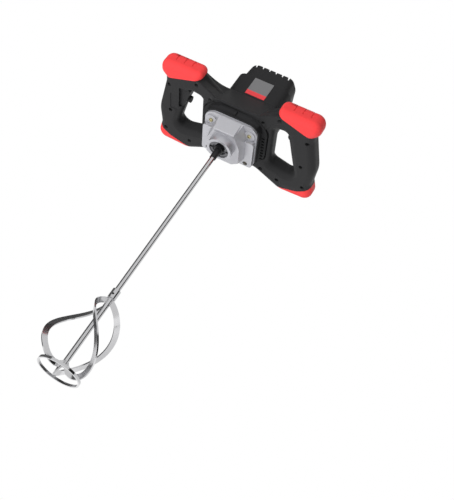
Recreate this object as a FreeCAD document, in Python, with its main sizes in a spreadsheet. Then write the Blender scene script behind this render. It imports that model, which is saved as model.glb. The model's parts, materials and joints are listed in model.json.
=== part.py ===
import FreeCAD, Part

import math
import os
import re

import Sketcher

# Two-handed mixing drill, written as one STEP file per piece.
# Frame: +Z up along the spindle axis, origin on that axis in the parting plane of the handle shells,
# -Y towards the front bumpers, +X towards the grip with the speed dial. Lengths are millimetres.

SIZES = {
    # Handle frame, seen from above: the right half, mirrored for the left
    "frame_half_height": 21,
    "edge_round": 15,
    "shell_wall": 4.5,
    "hub_front_x": 44,
    "hub_front_y": -38,
    "bar_front_x": 88,
    "bar_front_y": -76,
    "grip_front_x": 171.5,
    "grip_front_y": -40,
    "grip_wide_x": 187.5,
    "grip_wide_y": 46,
    "grip_waist_x": 182.5,
    "grip_waist_y": 92,
    "rear_corner_x": 193,
    "rear_corner_y": 139,
    "rear_bar_x": 113,
    "rear_bar_y": 143,
    "hub_rear_x": 50,
    "hub_rear_y": 108,
    "loop_inner_x": 84,
    "loop_front_x": 113,
    "loop_front_y": -41,
    "loop_side_x": 126,
    "loop_side_y": 15,
    "loop_rear_x": 145,
    "loop_rear_y": 92,
    "loop_rear_inner_y": 75,
    # Bonnet: the smooth front panel from the lower lip up to the motor block
    "bonnet_half_width": 50,
    "lip_y": -62,
    "lip_drop": 3,
    "bonnet_top_z": 59,
    "bonnet_back_y": 20,
    "bonnet_edge": 2,
    "bonnet_brow_round": 10,
    "sweep_low_y": -75,
    "sweep_high_y": -51,
    "sweep_back_y": -20,
    "sweep_rise": 9,
    "bar_face_x": 97,
    "bar_low_y": -84,
    "bar_high_y": -80,
    "bar_back_y": -47,
    # Red bumpers and feet
    "seat_x": 87,
    "seat_y": -84.83,
    "seat_slope": 0.354,
    "bumper_inner_x": 87,
    "bumper_outer_x": 182,
    "bumper_front_y": -97,
    "bumper_half_height": 22.5,
    "bumper_round": 16,
    "bumper_groove_pitch": 18.5,
    "bumper_groove_width": 2.4,
    "bumper_groove_depth": 1,
    "bumper_groove_low_z": -4,
    "bumper_groove_reach": 15,
    "foot_side_y": 100,
    "foot_bend_x": 157,
    "foot_bend_y": 119,
    "foot_end_x": 106,
    "foot_end_y": 134,
    # Motor block and end cap
    "motor_offset": 35,
    "motor_bore_radius": 44,
    "block_wall": 4,
    "block_half_width": 56,
    "block_rear_y": 92,
    "block_bulge": 10,
    "block_bulge_y": 15,
    "block_rear_bulge": 4,
    "block_corner": 20,
    "block_top_z": 114,
    "cap_half_width": 52,
    "cap_taper": 3.5,
    "cap_left_bulge": 3,
    "cap_corner": 18,
    "cap_left_corner": 24,
    "cap_top_z": 157,
    "cap_crown_radius": 330,
    "cap_round": 6,
    "groove_pitch": 15.5,
    "groove_width": 4.5,
    "groove_depth": 9,
    "plate_width": 45,
    "plate_height": 50,
    "plate_thickness": 0.8,
    "plate_bottom_z": 62.5,
    # Recess under the hub and the air outlet collar in it
    "recess_half_width": 75,
    "recess_front_y": -53,
    "recess_rear_y": 89,
    "recess_corner": 44,
    "recess_roof_z": -12,
    "recess_gap": 1,
    "collar_wall": 4,
    "collar_floor_z": -24,
    "fan_opening_radius": 46,
    "neck_half_width": 62,
    "neck_front_y": -47,
    "neck_rear_y": 84,
    "neck_corner": 26,
    # Gear case
    "case_half_width": 60,
    "case_front_y": -42,
    "case_rear_y": 78,
    "case_corner": 22,
    "case_top_z": -39,
    "flange_thickness": 5,
    "shoulder_half_width": 59,
    "shoulder_front_y": -8,
    "shoulder_rear_y": 66,
    "shoulder_z": -55,
    "ridge_half_width": 23.5,
    "ridge_foot_y": -38.5,
    "ridge_foot_z": -79.5,
    "ridge_heel_y": -28,
    "nose_z": -95,
    "nose_radius": 28,
    "nose_flat_z": -76,
    "nose_floor": 7,
    "nose_front_y": -34,
    "nose_half_width": 37,
    "nose_side_y": 42,
    "nose_rear_y": 53,
    "nose_flare": 7,
    "nose_front_angle": 22,
    "nose_rear_angle": 53,
    "nose_hole_radius": 22,
    "nose_hole_depth": 9,
    "case_boss_radius": 12,
    "case_boss_height": 3,
    "case_screw_radius": 2.4,
    "case_screw_head_radius": 4.2,
    "case_screw_head_height": 3,
    "case_screw_recess": 5.5,
    "case_screw_x": 44.3,
    "case_screw_front_y": -19.8,
    "case_screw_rear_y": 58,
    "gear_plate_thickness": 12,
    # Gears: teeth, modules and face widths
    "tooth_count_motor": 9,
    "tooth_count_layshaft": 49,
    "tooth_count_layshaft_pinion": 10,
    "tooth_count_spindle": 45,
    "module_fast": 1.0,
    "module_slow": 1.25,
    "tooth_shift": 0.3,
    "tooth_backlash": 0.2,
    "fast_gear_width": 7.5,
    "slow_gear_width": 12,
    # Shafts and bearings
    "spindle_radius": 7.5,
    "spindle_top_radius": 6,
    "spindle_nose_radius": 10.5,
    "spindle_bearing_radius": 16,
    "spindle_bearing_width": 9,
    "spindle_top_bearing_radius": 14,
    "spindle_top_bearing_width": 8,
    "layshaft_radius": 4,
    "layshaft_bearing_radius": 11,
    "layshaft_bearing_width": 7,
    "layshaft_bush_radius": 7,
    "layshaft_bush_width": 5,
    "armature_radius": 8,
    "armature_journal_radius": 6,
    "armature_top_radius": 4,
    "armature_bearing_radius": 16,
    "armature_bearing_width": 10,
    "armature_top_bearing_radius": 11,
    "armature_top_bearing_width": 7,
    "running_fit": 0.05,
    "retainer_thickness": 7,
    "retainer_pocket_depth": 3.5,
    "retainer_hole_radius": 13,
    "retainer_pocket_radius": 15.6,
    "retainer_screw_pitch": 18.2,
    "retainer_lobe_radius": 3.2,
    "retainer_screw_radius": 1.4,
    "retainer_screw_depth": 7,
    "retainer_screw_head_radius": 2.7,
    "retainer_screw_head_height": 2,
    # Motor parts
    "stator_bottom_z": 20,
    "stator_length": 52,
    "core_radius": 25,
    "air_gap": 0.6,
    "coil_radius": 36,
    "coil_thickness": 9,
    "coil_overhang": 10,
    "commutator_radius": 15,
    "commutator_length": 18,
    "brush_z": 97,
    "brush_width": 8,
    "brush_height": 11,
    "brush_gap": 0.2,
    "brush_holder_radius": 9,
    "brush_cap_radius": 10.5,
    "fan_radius": 42,
    "fan_bottom_z": -20,
    "fan_height": 13,
    "fan_plate": 3,
    "fan_blade_count": 14,
    "baffle_thickness": 3,
    "baffle_opening_radius": 36,
    # Rod and paddle
    "spindle_end_z": -97,
    "adapter_radius": 7.3,
    "adapter_stud_radius": 7,
    "adapter_end_z": -121,
    "stud_length": 24,
    "rod_radius": 5.4,
    "rod_grip": 20,
    "rod_end_z": -658,
    "sleeve_radius": 8.3,
    "sleeve_top_z": -483,
    "sleeve_length": 20,
    "blade_width": 11,
    "blade_thickness": 3,
    "blade_top_z": -508,
    "blade_belly_radius": 61,
    "blade_belly_z": -611,
    "blade_foot_radius": 38,
    "blade_foot_z": -662,
    "blade_twist": 155,
    "blade_start_angle": 107,
    "ring_radius": 41.4,
    "ring_thickness": 3,
    "ring_height": 5,
    "ring_bottom_z": -672,
    # Controls
    "trigger_pivot_x": 147,
    "trigger_pivot_y": 24,
    "trigger_front_y": -37,
    "trigger_bottom_z": -15,
    "trigger_top_z": 10,
    "trigger_nose_x": 112,
    "trigger_face_x": 118.5,
    "trigger_face_y": -8,
    "trigger_heel_x": 127,
    "trigger_heel_y": 15,
    "trigger_tail_radius": 5,
    "trigger_gap": 1,
    "trigger_pin_radius": 2,
    "nib_end_x": 161,
    "nib_y": -8,
    "nib_width": 5,
    "nib_half_height": 3,
    "switch_near_x": 155,
    "switch_far_x": 168,
    "switch_front_y": -24,
    "switch_rear_y": 20,
    "switch_half_height": 13,
    "switch_slot_y": -7,
    "switch_slot_width": 12,
    "relief_near_x": 138,
    "relief_far_x": 157,
    "relief_front_y": -15,
    "relief_rear_y": 30,
    "relief_depth": 1.5,
    "slot_depth_x": 136,
    "slot_front_y": -40.5,
    "slot_rear_y": 17,
    "slot_top_z": 12,
    "button_radius": 7.5,
    "button_y": -2,
    "button_z": -4,
    "button_length": 18,
    "button_face_x": 114,
    "button_travel": 3,
    "dial_radius": 11,
    "dial_height": 6,
    "dial_x": 123,
    "dial_y": -16,
    "dial_shaft_radius": 2.5,
    # Screws and posts
    "screw_head_radius": 3.6,
    "screw_head_height": 3,
    "screw_radius": 1.9,
    "screw_recess_radius": 4.5,
    "screw_seat_z": -12,
    "screw_tip_z": 12,
    "post_radius": 6,
}

# Handle screws on the right half, as plan positions
SHELL_SCREWS = {
    "grip_front": (160.4, -37.9),
    "bar_front": (94.8, -69.7),
    "hub_front": (61.0, -48.0),
    "grip_middle": (155.9, 37.1),
    "grip_rear": (167.6, 99.0),
    "bar_rear": (108.1, 110.4),
    "hub_rear": (67.0, 97.0),
}

# Widest point of the grip for which the plan positions along an arm are stated, and those positions
ARM_DRAWN_X = 187.5
ARM_POSITIONS = {
    "grip_front_x", "grip_waist_x", "rear_corner_x", "rear_bar_x", "loop_front_x", "loop_side_x", "loop_rear_x",
    "bumper_outer_x", "foot_bend_x", "foot_end_x", "trigger_pivot_x", "trigger_nose_x", "trigger_face_x",
    "trigger_heel_x", "slot_depth_x", "button_face_x", "nib_end_x", "switch_near_x", "switch_far_x",
    "relief_near_x", "relief_far_x", "dial_x",
}

PRESSURE_ANGLE = math.radians(20)
BLADE_COUNT = 3
BLADE_STATIONS = 17
FAR = 400

doc = FreeCAD.newDocument("MixingDrill")
sheet = doc.addObject("Spreadsheet::Sheet", "Sizes")
for row, (alias, value) in enumerate(SIZES.items(), start=1):
    sheet.set(f"A{row}", alias)
    sheet.set(f"B{row}", str(value))
    sheet.setAlias(f"B{row}", alias)
doc.recompute()

nodes = []


class SheetValues:
    """Read a driving dimension from the spreadsheet by its alias, stretched if it is a place on an arm."""

    def __getattr__(self, alias):
        value = float(sheet.get(alias))
        return arm_x(value) if alias in ARM_POSITIONS else value


S = SheetValues()


def arm_stretch():
    """How much longer an arm is than drawn, from the hub's edge to the grip's widest point."""
    return (S.grip_wide_x - S.loop_inner_x) / (ARM_DRAWN_X - S.loop_inner_x)


def arm_x(x):
    """X along an arm, stretched outside the hub as the grip's widest point moves."""
    hub = S.loop_inner_x
    return hub + (x - hub) * arm_stretch() if x > hub else x


# Document helpers

def bound(text):
    """Turn aliases in a formula into references to the spreadsheet."""
    return re.sub(r"[a-z][a-z_]+", lambda word: "Sizes." + word.group(), text)


def vec(x, y, z):
    return FreeCAD.Vector(x, y, z)


def placed(x, y, z, axis="z"):
    """Placement whose local Z points along the named axis."""
    turns = {
        "z": FreeCAD.Rotation(),
        "x": FreeCAD.Rotation(vec(0, 1, 0), 90),
        "-x": FreeCAD.Rotation(vec(0, 1, 0), -90),
        "y": FreeCAD.Rotation(vec(1, 0, 0), -90),
    }
    return FreeCAD.Placement(vec(x, y, z), turns[axis])


def node(obj, label):
    """Name a document object as a piece of the assembly."""
    obj.Label = label
    nodes.append(obj)
    return obj


def solid_node(label, shape):
    """A piece whose shape is worked out from the sheet by this script."""
    obj = doc.addObject("Part::Feature", label)
    obj.Shape = shape
    return node(obj, label)


def cylinder(name, radius, height, placement):
    obj = doc.addObject("Part::Cylinder", name)
    obj.setExpression("Radius", bound(radius))
    obj.setExpression("Height", bound(height))
    obj.Placement = placement
    return obj


def cone(name, radius_low, radius_high, height, placement):
    obj = doc.addObject("Part::Cone", name)
    obj.setExpression("Radius1", bound(radius_low))
    obj.setExpression("Radius2", bound(radius_high))
    obj.setExpression("Height", bound(height))
    obj.Placement = placement
    return obj


def box(name, length, width, height, placement):
    obj = doc.addObject("Part::Box", name)
    obj.setExpression("Length", bound(length))
    obj.setExpression("Width", bound(width))
    obj.setExpression("Height", bound(height))
    obj.Placement = placement
    return obj


def cut(name, base, tool):
    obj = doc.addObject("Part::Cut", name)
    obj.Base = base
    obj.Tool = tool
    return obj


def fuse(name, pieces):
    obj = doc.addObject("Part::MultiFuse", name)
    obj.Shapes = pieces
    return obj


def group(name, pieces):
    obj = doc.addObject("Part::Compound", name)
    obj.Links = pieces
    return obj


def ring(label, outer, inner, height, placement):
    """A plain ring, such as a bearing, as one piece."""
    rim = cylinder(label + "_rim", outer, height, placement)
    hole = cylinder(label + "_hole", inner, height, placement)
    return node(cut(label, rim, hole), label)


# Shape helpers

def outline(corners, place=lambda u, v: vec(u, v, 0)):
    """Closed wire through corners (u, v, radius), each rounded by an arc of its radius."""
    points = [vec(u, v, 0) for u, v, _ in corners]
    count = len(corners)
    starts, arcs = [], []
    for i, (u, v, radius) in enumerate(corners):
        here = points[i]
        to_last = (points[i - 1] - here).normalize()
        to_next = (points[(i + 1) % count] - here).normalize()
        half = to_last.getAngle(to_next) / 2
        if radius == 0 or abs(half - math.pi / 2) < 1e-6:
            starts.append((here, here))
            arcs.append(None)
            continue
        reach = radius / math.tan(half)
        first = here + to_last * reach
        last = here + to_next * reach
        middle = (to_last + to_next).normalize() * (radius / math.sin(half) - radius) + here
        starts.append((first, last))
        arcs.append((first, middle, last))
    edges = []
    for i in range(count):
        if arcs[i]:
            edges.append(Part.Arc(*[place(p.x, p.y) for p in arcs[i]]).toShape())
        begin, end = starts[i][1], starts[(i + 1) % count][0]
        if begin.distanceToPoint(end) > 1e-6:
            edges.append(Part.LineSegment(place(begin.x, begin.y), place(end.x, end.y)).toShape())
    return Part.Wire(edges)


def prism(corners, low, high):
    """Solid between two heights over a rounded plan outline."""
    face = Part.Face(outline(corners))
    face.translate(vec(0, 0, low))
    return face.extrude(vec(0, 0, high - low))


def rectangle(half_width, front, rear, radius):
    """Corners of a plan rectangle that is symmetric about X = 0."""
    return [(-half_width, front, radius), (half_width, front, radius),
            (half_width, rear, radius), (-half_width, rear, radius)]


def tube(radius, low, high, x=0.0, y=0.0):
    return Part.makeCylinder(radius, high - low, vec(x, y, low))


def rod_along(axis, radius, start, end):
    """Cylinder from one point towards another along X or Y."""
    direction = vec(1, 0, 0) if axis == "x" else vec(0, 1, 0)
    length = (end - start).dot(direction)
    return Part.makeCylinder(radius, length, start, direction)


def block(x0, x1, y0, y1, z0, z1):
    return Part.makeBox(x1 - x0, y1 - y0, z1 - z0, vec(x0, y0, z0))


def mirrored(shape):
    return shape.mirror(vec(0, 0, 0), vec(1, 0, 0))


def on_both_sides(shape):
    return [shape, mirrored(shape)]


def flat_edges(shape, height):
    """Edges that lie in the plane at one height."""
    return [edge for edge in shape.Edges
            if abs(edge.BoundBox.ZMin - height) < 1e-6 and abs(edge.BoundBox.ZMax - height) < 1e-6]


# Handle frame

def frame_face():
    """Plan of the whole frame with its two hand loops, feet and front ends included."""
    front_end = S.bumper_front_y - 8
    right = [
        (S.hub_front_x, S.hub_front_y, 20),
        (S.bar_front_x, S.bar_front_y, 6),
        (S.bar_front_x, front_end, 18),
        (S.grip_front_x, front_end, 24),
        (S.grip_front_x, S.grip_front_y, 60),
        (S.grip_wide_x, S.grip_wide_y, 90),
        (S.grip_waist_x, S.grip_waist_y, 40),
        (S.rear_corner_x, S.rear_corner_y, 20),
        (S.rear_bar_x, S.rear_bar_y, 40),
        (S.hub_rear_x, S.hub_rear_y, 40),
    ]
    left = [(-x, y, radius) for x, y, radius in reversed(right)]
    loop = [
        (S.loop_inner_x, S.loop_front_y + 5, 9),
        (S.loop_front_x, S.loop_front_y, 10),
        (S.loop_side_x, S.loop_side_y, 90),
        (S.loop_rear_x, S.loop_rear_y, 16),
        (S.loop_inner_x, S.loop_rear_inner_y, 12),
    ]
    hole = Part.Face(outline(loop))
    return Part.Face(outline(right + left)).cut(on_both_sides(hole)).Faces[0]


def rounded_frame(face):
    height = S.frame_half_height
    solid = face.copy()
    solid.translate(vec(0, 0, -height))
    solid = solid.extrude(vec(0, 0, 2 * height))
    radius = S.edge_round * min(1, arm_stretch())
    return solid.makeFillet(radius, flat_edges(solid, height) + flat_edges(solid, -height))


def bonnet():
    """Front panel between the bumpers: straight in the middle, sweeping out to the bars at each side."""
    half = S.frame_half_height
    lip = -half - S.lip_drop
    edge, brow, back = S.bonnet_edge, S.bonnet_brow_round, S.bonnet_back_y
    middle = [(S.lip_y, lip, edge), (block_front(), S.bonnet_top_z, brow), (back, S.bonnet_top_z, edge),
              (back, lip, edge)]
    sweep = [(S.sweep_low_y, lip + 1, edge), (S.sweep_high_y, half + S.sweep_rise, brow),
             (S.sweep_back_y, half + S.sweep_rise + 3, edge), (S.sweep_back_y - 20, lip + 1, edge)]
    bar = [(S.bar_low_y, -half, edge), (S.bar_high_y, half, brow), (S.bar_back_y, half, edge),
           (S.bar_back_y - 15, -half, edge)]

    def section(x, corners):
        return outline(corners, lambda u, v: vec(x, u, v))

    reach = S.bonnet_half_width
    panel = Part.Face(section(-reach, middle)).extrude(vec(2 * reach, 0, 0))
    wires = [section(reach, middle), section((reach + S.bar_face_x) / 2, sweep),
             section(S.bar_face_x, bar)]
    flank = Part.makeLoft(wires, True, False)
    return [panel] + on_both_sides(flank)


def seat_height(x):
    """Y of the slanted plane on which a front bumper sits."""
    return S.seat_y + S.seat_slope * (x - S.seat_x) / arm_stretch()


def bumper_zone(setback=0.0):
    inner, outer = S.bar_front_x - 8, S.grip_wide_x + 30
    return prism([(inner, seat_height(inner) + setback, 0), (outer, seat_height(outer) + setback, 0),
                  (outer, -FAR, 0), (inner, -FAR, 0)], -FAR, FAR)


def foot_zone(setback=0.0):
    far_x = S.rear_corner_x + 40
    far_y = S.rear_corner_y + 60
    return prism([(far_x, S.foot_side_y - 8 - setback, 0), (S.grip_waist_x + 2, S.foot_side_y - setback, 12),
                  (S.foot_bend_x, S.foot_bend_y - setback, 25), (S.foot_end_x, S.foot_end_y - setback, 0),
                  (S.foot_end_x, far_y, 0), (far_x, far_y, 0)], -FAR, FAR)


def bumper_block():
    """Soft rounded block on the slanted seat."""
    seat_end = S.grip_front_x - 0.5
    inner, outer, front = S.bumper_inner_x, S.bumper_outer_x, S.bumper_front_y
    inner_side = seat_height(inner) - front
    corners = [(inner, seat_height(inner), 0), (inner, front, 0.9 * inner_side), (outer, front, 20),
               (outer, front + 30, 17), (seat_end, seat_height(seat_end), 0)]
    height = S.bumper_half_height
    solid = prism(corners, -height, height)
    seat = vec(-S.seat_slope / arm_stretch(), 1, 0).normalize()
    rims = []
    for edge in flat_edges(solid, height) + flat_edges(solid, -height):
        ends = edge.Vertexes[0].Point - edge.Vertexes[-1].Point
        if abs(ends.dot(seat)) > 1e-6:
            rims.append(edge)
    return solid.makeFillet(S.bumper_round, rims)


def bumper():
    """Right front bumper, with three shallow grooves across its upper front edge."""
    middle = (S.bumper_inner_x + S.bumper_outer_x) / 2
    half = S.bumper_groove_width / 2
    body = bumper_block()
    core = body.translated(vec(0, S.bumper_groove_depth, -S.bumper_groove_depth))
    grooves = []
    for step in (-1, 0, 1):
        x = middle + step * S.bumper_groove_pitch
        slab = block(x - half, x + half, -FAR, S.bumper_front_y + S.bumper_groove_reach,
                     S.bumper_groove_low_z, FAR)
        grooves.append(slab.cut(core))
    return body.cut(grooves)


def handle_cavity(face):
    """Hollow of the grips and bars, stepped to follow the rounded edges, without the screw posts."""
    height = S.frame_half_height
    layers = []
    for inset, roof in ((S.shell_wall, height - 8), (2 * S.shell_wall, height - 3.5)):
        layer = face.makeOffset2D(-inset)
        layer.translate(vec(0, 0, -roof))
        layers.append(layer.extrude(vec(0, 0, 2 * roof)))
    hollow = layers[0].fuse(layers[1])
    hub = S.loop_inner_x + 6
    keep_out = [block(-hub, hub, -FAR, FAR, -FAR, FAR)]
    keep_out += on_both_sides(bumper_zone(S.shell_wall)) + on_both_sides(foot_zone(S.shell_wall))
    for x, y in shell_screw_places().values():
        keep_out += on_both_sides(tube(S.post_radius, -FAR, FAR, x, y))
    keep_out += control_posts()
    return hollow.cut(keep_out)


def control_posts():
    """Bosses in the grips that hold the trigger pin and the shaft of the speed dial."""
    radius = S.trigger_pin_radius + 2.5
    x, y = -S.trigger_pivot_x, S.trigger_pivot_y
    gap = S.trigger_gap
    half_dial = S.dial_height / 2 + gap
    dial_post = S.dial_shaft_radius + 2
    return [
        tube(radius, -FAR, S.trigger_bottom_z - gap, x, y),
        tube(radius, S.trigger_top_z + gap, FAR, x, y),
        tube(dial_post, -FAR, -half_dial, S.dial_x, S.dial_y),
        tube(dial_post, half_dial, FAR, S.dial_x, S.dial_y),
    ]


def control_openings():
    """Trigger slot in the left grip, dial slot in the right one, and the holes of their shafts."""
    reach = S.loop_inner_x + 20
    slot = block(-S.slot_depth_x, -reach, S.slot_front_y, S.slot_rear_y, -FAR, S.slot_top_z)
    lever = Part.Face(outline(lever_corners())).makeOffset2D(S.trigger_gap)
    lever.translate(vec(0, 0, S.trigger_bottom_z - S.trigger_gap))
    lever = lever.extrude(vec(0, 0, S.trigger_top_z - S.trigger_bottom_z + 2 * S.trigger_gap))
    relief = block(-S.relief_far_x, -S.relief_near_x, S.relief_front_y, S.relief_rear_y, -FAR,
                   S.relief_depth - S.frame_half_height)
    clear = S.trigger_gap
    swing = S.dial_radius + clear
    window = block(reach, S.dial_x + swing, S.dial_y - swing, S.dial_y + swing,
                   -S.dial_height / 2 - clear, S.dial_height / 2 + clear)
    pin = tube(S.trigger_pin_radius, pin_low(), pin_high(), -S.trigger_pivot_x, S.trigger_pivot_y)
    shaft = tube(S.dial_shaft_radius + S.running_fit, -dial_reach(), dial_reach(), S.dial_x, S.dial_y)
    return [slot, lever, relief, window, pin, shaft]


def pin_low():
    return S.trigger_bottom_z - 2


def pin_high():
    return S.trigger_top_z + 4


def dial_reach():
    return S.frame_half_height - 7


def shell_screw_places():
    """Plan positions of the handle screws on the right half, by name."""
    return {name: (arm_x(x), y) for name, (x, y) in SHELL_SCREWS.items()}


def screw_holes():
    """Recesses and shank holes of the handle screws, from below."""
    tools = []
    for x, y in shell_screw_places().values():
        tools += on_both_sides(tube(S.screw_recess_radius, -FAR, S.screw_seat_z, x, y))
        tools += on_both_sides(tube(S.screw_radius, S.screw_seat_z, S.screw_tip_z, x, y))
    return tools


def block_front():
    return S.motor_offset - S.motor_bore_radius - S.block_wall


def block_corners(half_width, inset, corner, left_bulge, left_corner):
    """Plan corners of the motor block or of its cap, with bulging sides, drawn in by an inset."""
    front, rear = block_front() + inset, S.block_rear_y - inset
    width = half_width - inset
    back = width + S.block_rear_bulge
    return [(width, front, corner), (width + S.block_bulge, S.block_bulge_y, 2 * corner), (back, rear, corner),
            (-back, rear, corner), (-width - left_bulge, S.block_bulge_y, 2 * corner), (-width, front, left_corner)]


def tower_corners():
    return block_corners(S.block_half_width, 0, S.block_corner, S.block_bulge, S.block_corner)


def cap_corners(inset):
    """Plan corners of the end cap, whose left side bulges less than its right side."""
    return block_corners(S.cap_half_width, inset, S.cap_corner - inset, S.cap_left_bulge,
                         S.cap_left_corner - inset)


def motor_tube(radius, low, high):
    return tube(radius, low, high, 0, S.motor_offset)


def brush_rod(radius, near, far):
    return rod_along("x", radius, vec(near, S.motor_offset, S.brush_z), vec(far, S.motor_offset, S.brush_z))


def build_shells():
    """Both handle shells and the red feet, cut from one rounded frame."""
    face = frame_face()
    frame = rounded_frame(face)
    feet = frame.common(foot_zone())
    zones = on_both_sides(bumper_zone()) + on_both_sides(foot_zone())
    panel = bonnet()
    cavity = handle_cavity(face)
    openings = control_openings() + screw_holes()
    above = block(-FAR, FAR, -FAR, FAR, 0, FAR)
    below = block(-FAR, FAR, -FAR, FAR, -FAR, 0)

    lower = frame.fuse(panel).common(below)
    recess = prism(rectangle(S.recess_half_width, S.recess_front_y, S.recess_rear_y, S.recess_corner),
                   -FAR, S.recess_roof_z)
    opening = motor_tube(S.fan_opening_radius, S.recess_roof_z, FAR)
    lower = lower.cut(zones + [recess, opening, cavity] + openings)

    tower = prism(tower_corners(), 0, S.block_top_z)
    upper = frame.fuse(panel).common(above).fuse(tower)
    shoulder = S.motor_bore_radius - 2.5
    hollows = [motor_tube(shoulder, -1, S.stator_bottom_z), motor_tube(S.motor_bore_radius, S.stator_bottom_z, FAR)]
    hollows += on_both_sides(brush_rod(S.brush_holder_radius, 20, FAR))
    hollows += on_both_sides(brush_rod(S.brush_cap_radius, brush_seat(), FAR))
    gland = vec(0, S.motor_offset, gland_height())
    hollows.append(rod_along("y", gland_radius(), gland, gland + vec(0, FAR, 0)))
    hollows += [tube(S.screw_radius, cap_screw_tip(), FAR, x, y) for x, y in cap_screw_places()]
    upper = upper.cut(zones + [cavity] + hollows + openings)

    solid_node("lower_handle_shell", lower.removeSplitter())
    solid_node("upper_handle_shell", upper.removeSplitter())
    solid_node("right_rear_foot", feet)
    solid_node("left_rear_foot", mirrored(feet))
    right = bumper()
    solid_node("right_front_bumper", right)
    solid_node("left_front_bumper", mirrored(right))


def brush_seat():
    return S.block_half_width


def gland_height():
    return S.bonnet_top_z - 5


def gland_radius():
    return 7.0


def cap_screw_places():
    x = S.cap_half_width - 15
    reach = S.motor_bore_radius - 11
    return [(side * x, S.motor_offset + end * reach) for side in (-1, 1) for end in (-1, 1)]


def cap_screw_tip():
    return S.block_top_z - 20


def cap_screw_seat():
    return S.block_top_z + 11


# Motor end cap, rating plate and cable gland

def build_end_cap():
    base = S.block_top_z
    top = S.cap_top_z
    low = outline(cap_corners(0))
    high = outline(cap_corners(S.cap_taper))
    low.translate(vec(0, 0, base))
    high.translate(vec(0, 0, top))
    cap = Part.makeLoft([low, high], True, True)
    cap = cap.makeFillet(S.cap_round, flat_edges(cap, top))
    crown = Part.makeCylinder(S.cap_crown_radius, FAR, vec(0, -FAR / 2, top - S.cap_crown_radius),
                              vec(0, 1, 0))
    cap = cap.common(crown)

    roof = S.cap_top_z - S.groove_depth - 6
    inset = S.cap_taper + S.block_wall
    inside = prism(cap_corners(inset), base, roof)
    posts = [motor_tube(S.armature_top_bearing_radius + 4, base, FAR)]
    posts += [tube(S.post_radius, base, FAR, x, y) for x, y in cap_screw_places()]
    tools = [inside.cut(posts)]
    tools.append(motor_tube(S.armature_top_bearing_radius, base, base + S.armature_top_bearing_width))
    for x, y in cap_screw_places():
        tools.append(tube(S.screw_radius, base, FAR, x, y))
        tools.append(tube(S.screw_recess_radius, cap_screw_seat(), FAR, x, y))
    for step in (-2.5, -1.5, -0.5, 0.5, 1.5, 2.5):
        x = step * S.groove_pitch
        half = S.groove_width / 2
        sag = S.cap_crown_radius - math.sqrt(S.cap_crown_radius ** 2 - x ** 2)
        tools.append(block(x - half, x + half, -FAR, FAR, S.cap_top_z - sag - S.groove_depth, FAR))
    solid_node("motor_end_cap", cap.cut(tools))


def build_plate():
    plate = box("rating_plate", "plate_width", "plate_thickness", "plate_height",
                placed(-S.plate_width / 2, block_front() - S.plate_thickness, S.plate_bottom_z))
    node(plate, "rating_plate")


def build_gland():
    """Cable inlet through the rear wall of the motor block."""
    wall = S.block_rear_y
    height = gland_height()
    inner = rod_along("y", gland_radius(), vec(0, wall - 10, height), vec(0, wall, height))
    flange = rod_along("y", gland_radius() + 3, vec(0, wall, height), vec(0, wall + 3, height))
    snout = Part.makeCone(gland_radius(), gland_radius() - 1.5, 14, vec(0, wall + 3, height), vec(0, 1, 0))
    bore = rod_along("y", gland_radius() - 3, vec(0, wall - 20, height), vec(0, wall + 40, height))
    solid_node("cable_gland", inner.fuse([flange, snout]).cut(bore))


# Air outlet collar and gear case

def neck_corners(inset=0.0):
    return rectangle(S.neck_half_width - inset, S.neck_front_y + inset, S.neck_rear_y - inset,
                     S.neck_corner - inset)


def case_screw_places():
    return [(side * S.case_screw_x, y) for side in (-1, 1) for y in (S.case_screw_front_y, S.case_screw_rear_y)]


def gear_plate_top():
    return S.case_top_z + S.gear_plate_thickness


def build_collar():
    """Tray in the recess with slotted ledges, on a neck that holds the gear plate."""
    gap = S.recess_gap
    floor_top = S.collar_floor_z + 3

    def tray(inset, low, high):
        return prism(rectangle(S.recess_half_width - inset, S.recess_front_y + inset, S.recess_rear_y - inset,
                               S.recess_corner - inset), low, high)

    collar = tray(gap, S.collar_floor_z, S.recess_roof_z).cut(tray(gap + S.collar_wall, floor_top, FAR))
    neck = prism(neck_corners(), S.case_top_z, S.collar_floor_z)
    rib = block(-3, 3, S.recess_front_y + 3, S.neck_front_y + 3, S.case_top_z + 4, S.collar_floor_z)
    collar = collar.fuse([neck, rib])
    tools = [prism(neck_corners(S.collar_wall), -FAR, gear_plate_top()),
             motor_tube(S.fan_opening_radius, gear_plate_top(), floor_top + 1)]
    tools += [tube(S.case_screw_radius, gear_plate_top(), case_screw_tip(), x, y)
              for x, y in case_screw_places()]
    slot_pitch = 9
    for index in range(8):
        y = index * slot_pitch - 4
        tools += on_both_sides(block(S.neck_half_width + 1.5, S.recess_half_width - 5.5, y, y + 4,
                                     -FAR, floor_top))
    solid_node("air_outlet_collar", collar.cut(tools))


def case_screw_tip():
    return S.collar_floor_z + 2


def case_boss_face():
    """Height of the faces on which the heads of the gear case screws rest."""
    return flange_bottom() - S.case_boss_height


def flange_bottom():
    return S.case_top_z - S.flange_thickness


def octagon(height, spread):
    """Section of the gear housing, drawn out by a spread: every side stays parallel to itself."""
    front, side, rear = S.nose_front_y - spread, S.nose_half_width + spread, S.nose_rear_y + spread
    ahead, behind = math.radians(S.nose_front_angle), math.radians(S.nose_rear_angle)
    front_reach = S.nose_half_width * math.cos(ahead) + spread
    rear_reach = S.nose_half_width * math.cos(behind) + S.nose_side_y * math.sin(behind) + spread
    right = [((front_reach + front * math.sin(ahead)) / math.cos(ahead), front),
             (side, (side * math.cos(ahead) - front_reach) / math.sin(ahead)),
             (side, (rear_reach - side * math.cos(behind)) / math.sin(behind)),
             ((rear_reach - rear * math.sin(behind)) / math.cos(behind), rear)]
    ring_points = [vec(x, y, height) for x, y in right] + [vec(-x, y, height) for x, y in reversed(right)]
    return Part.makePolygon(ring_points + ring_points[:1])


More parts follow.
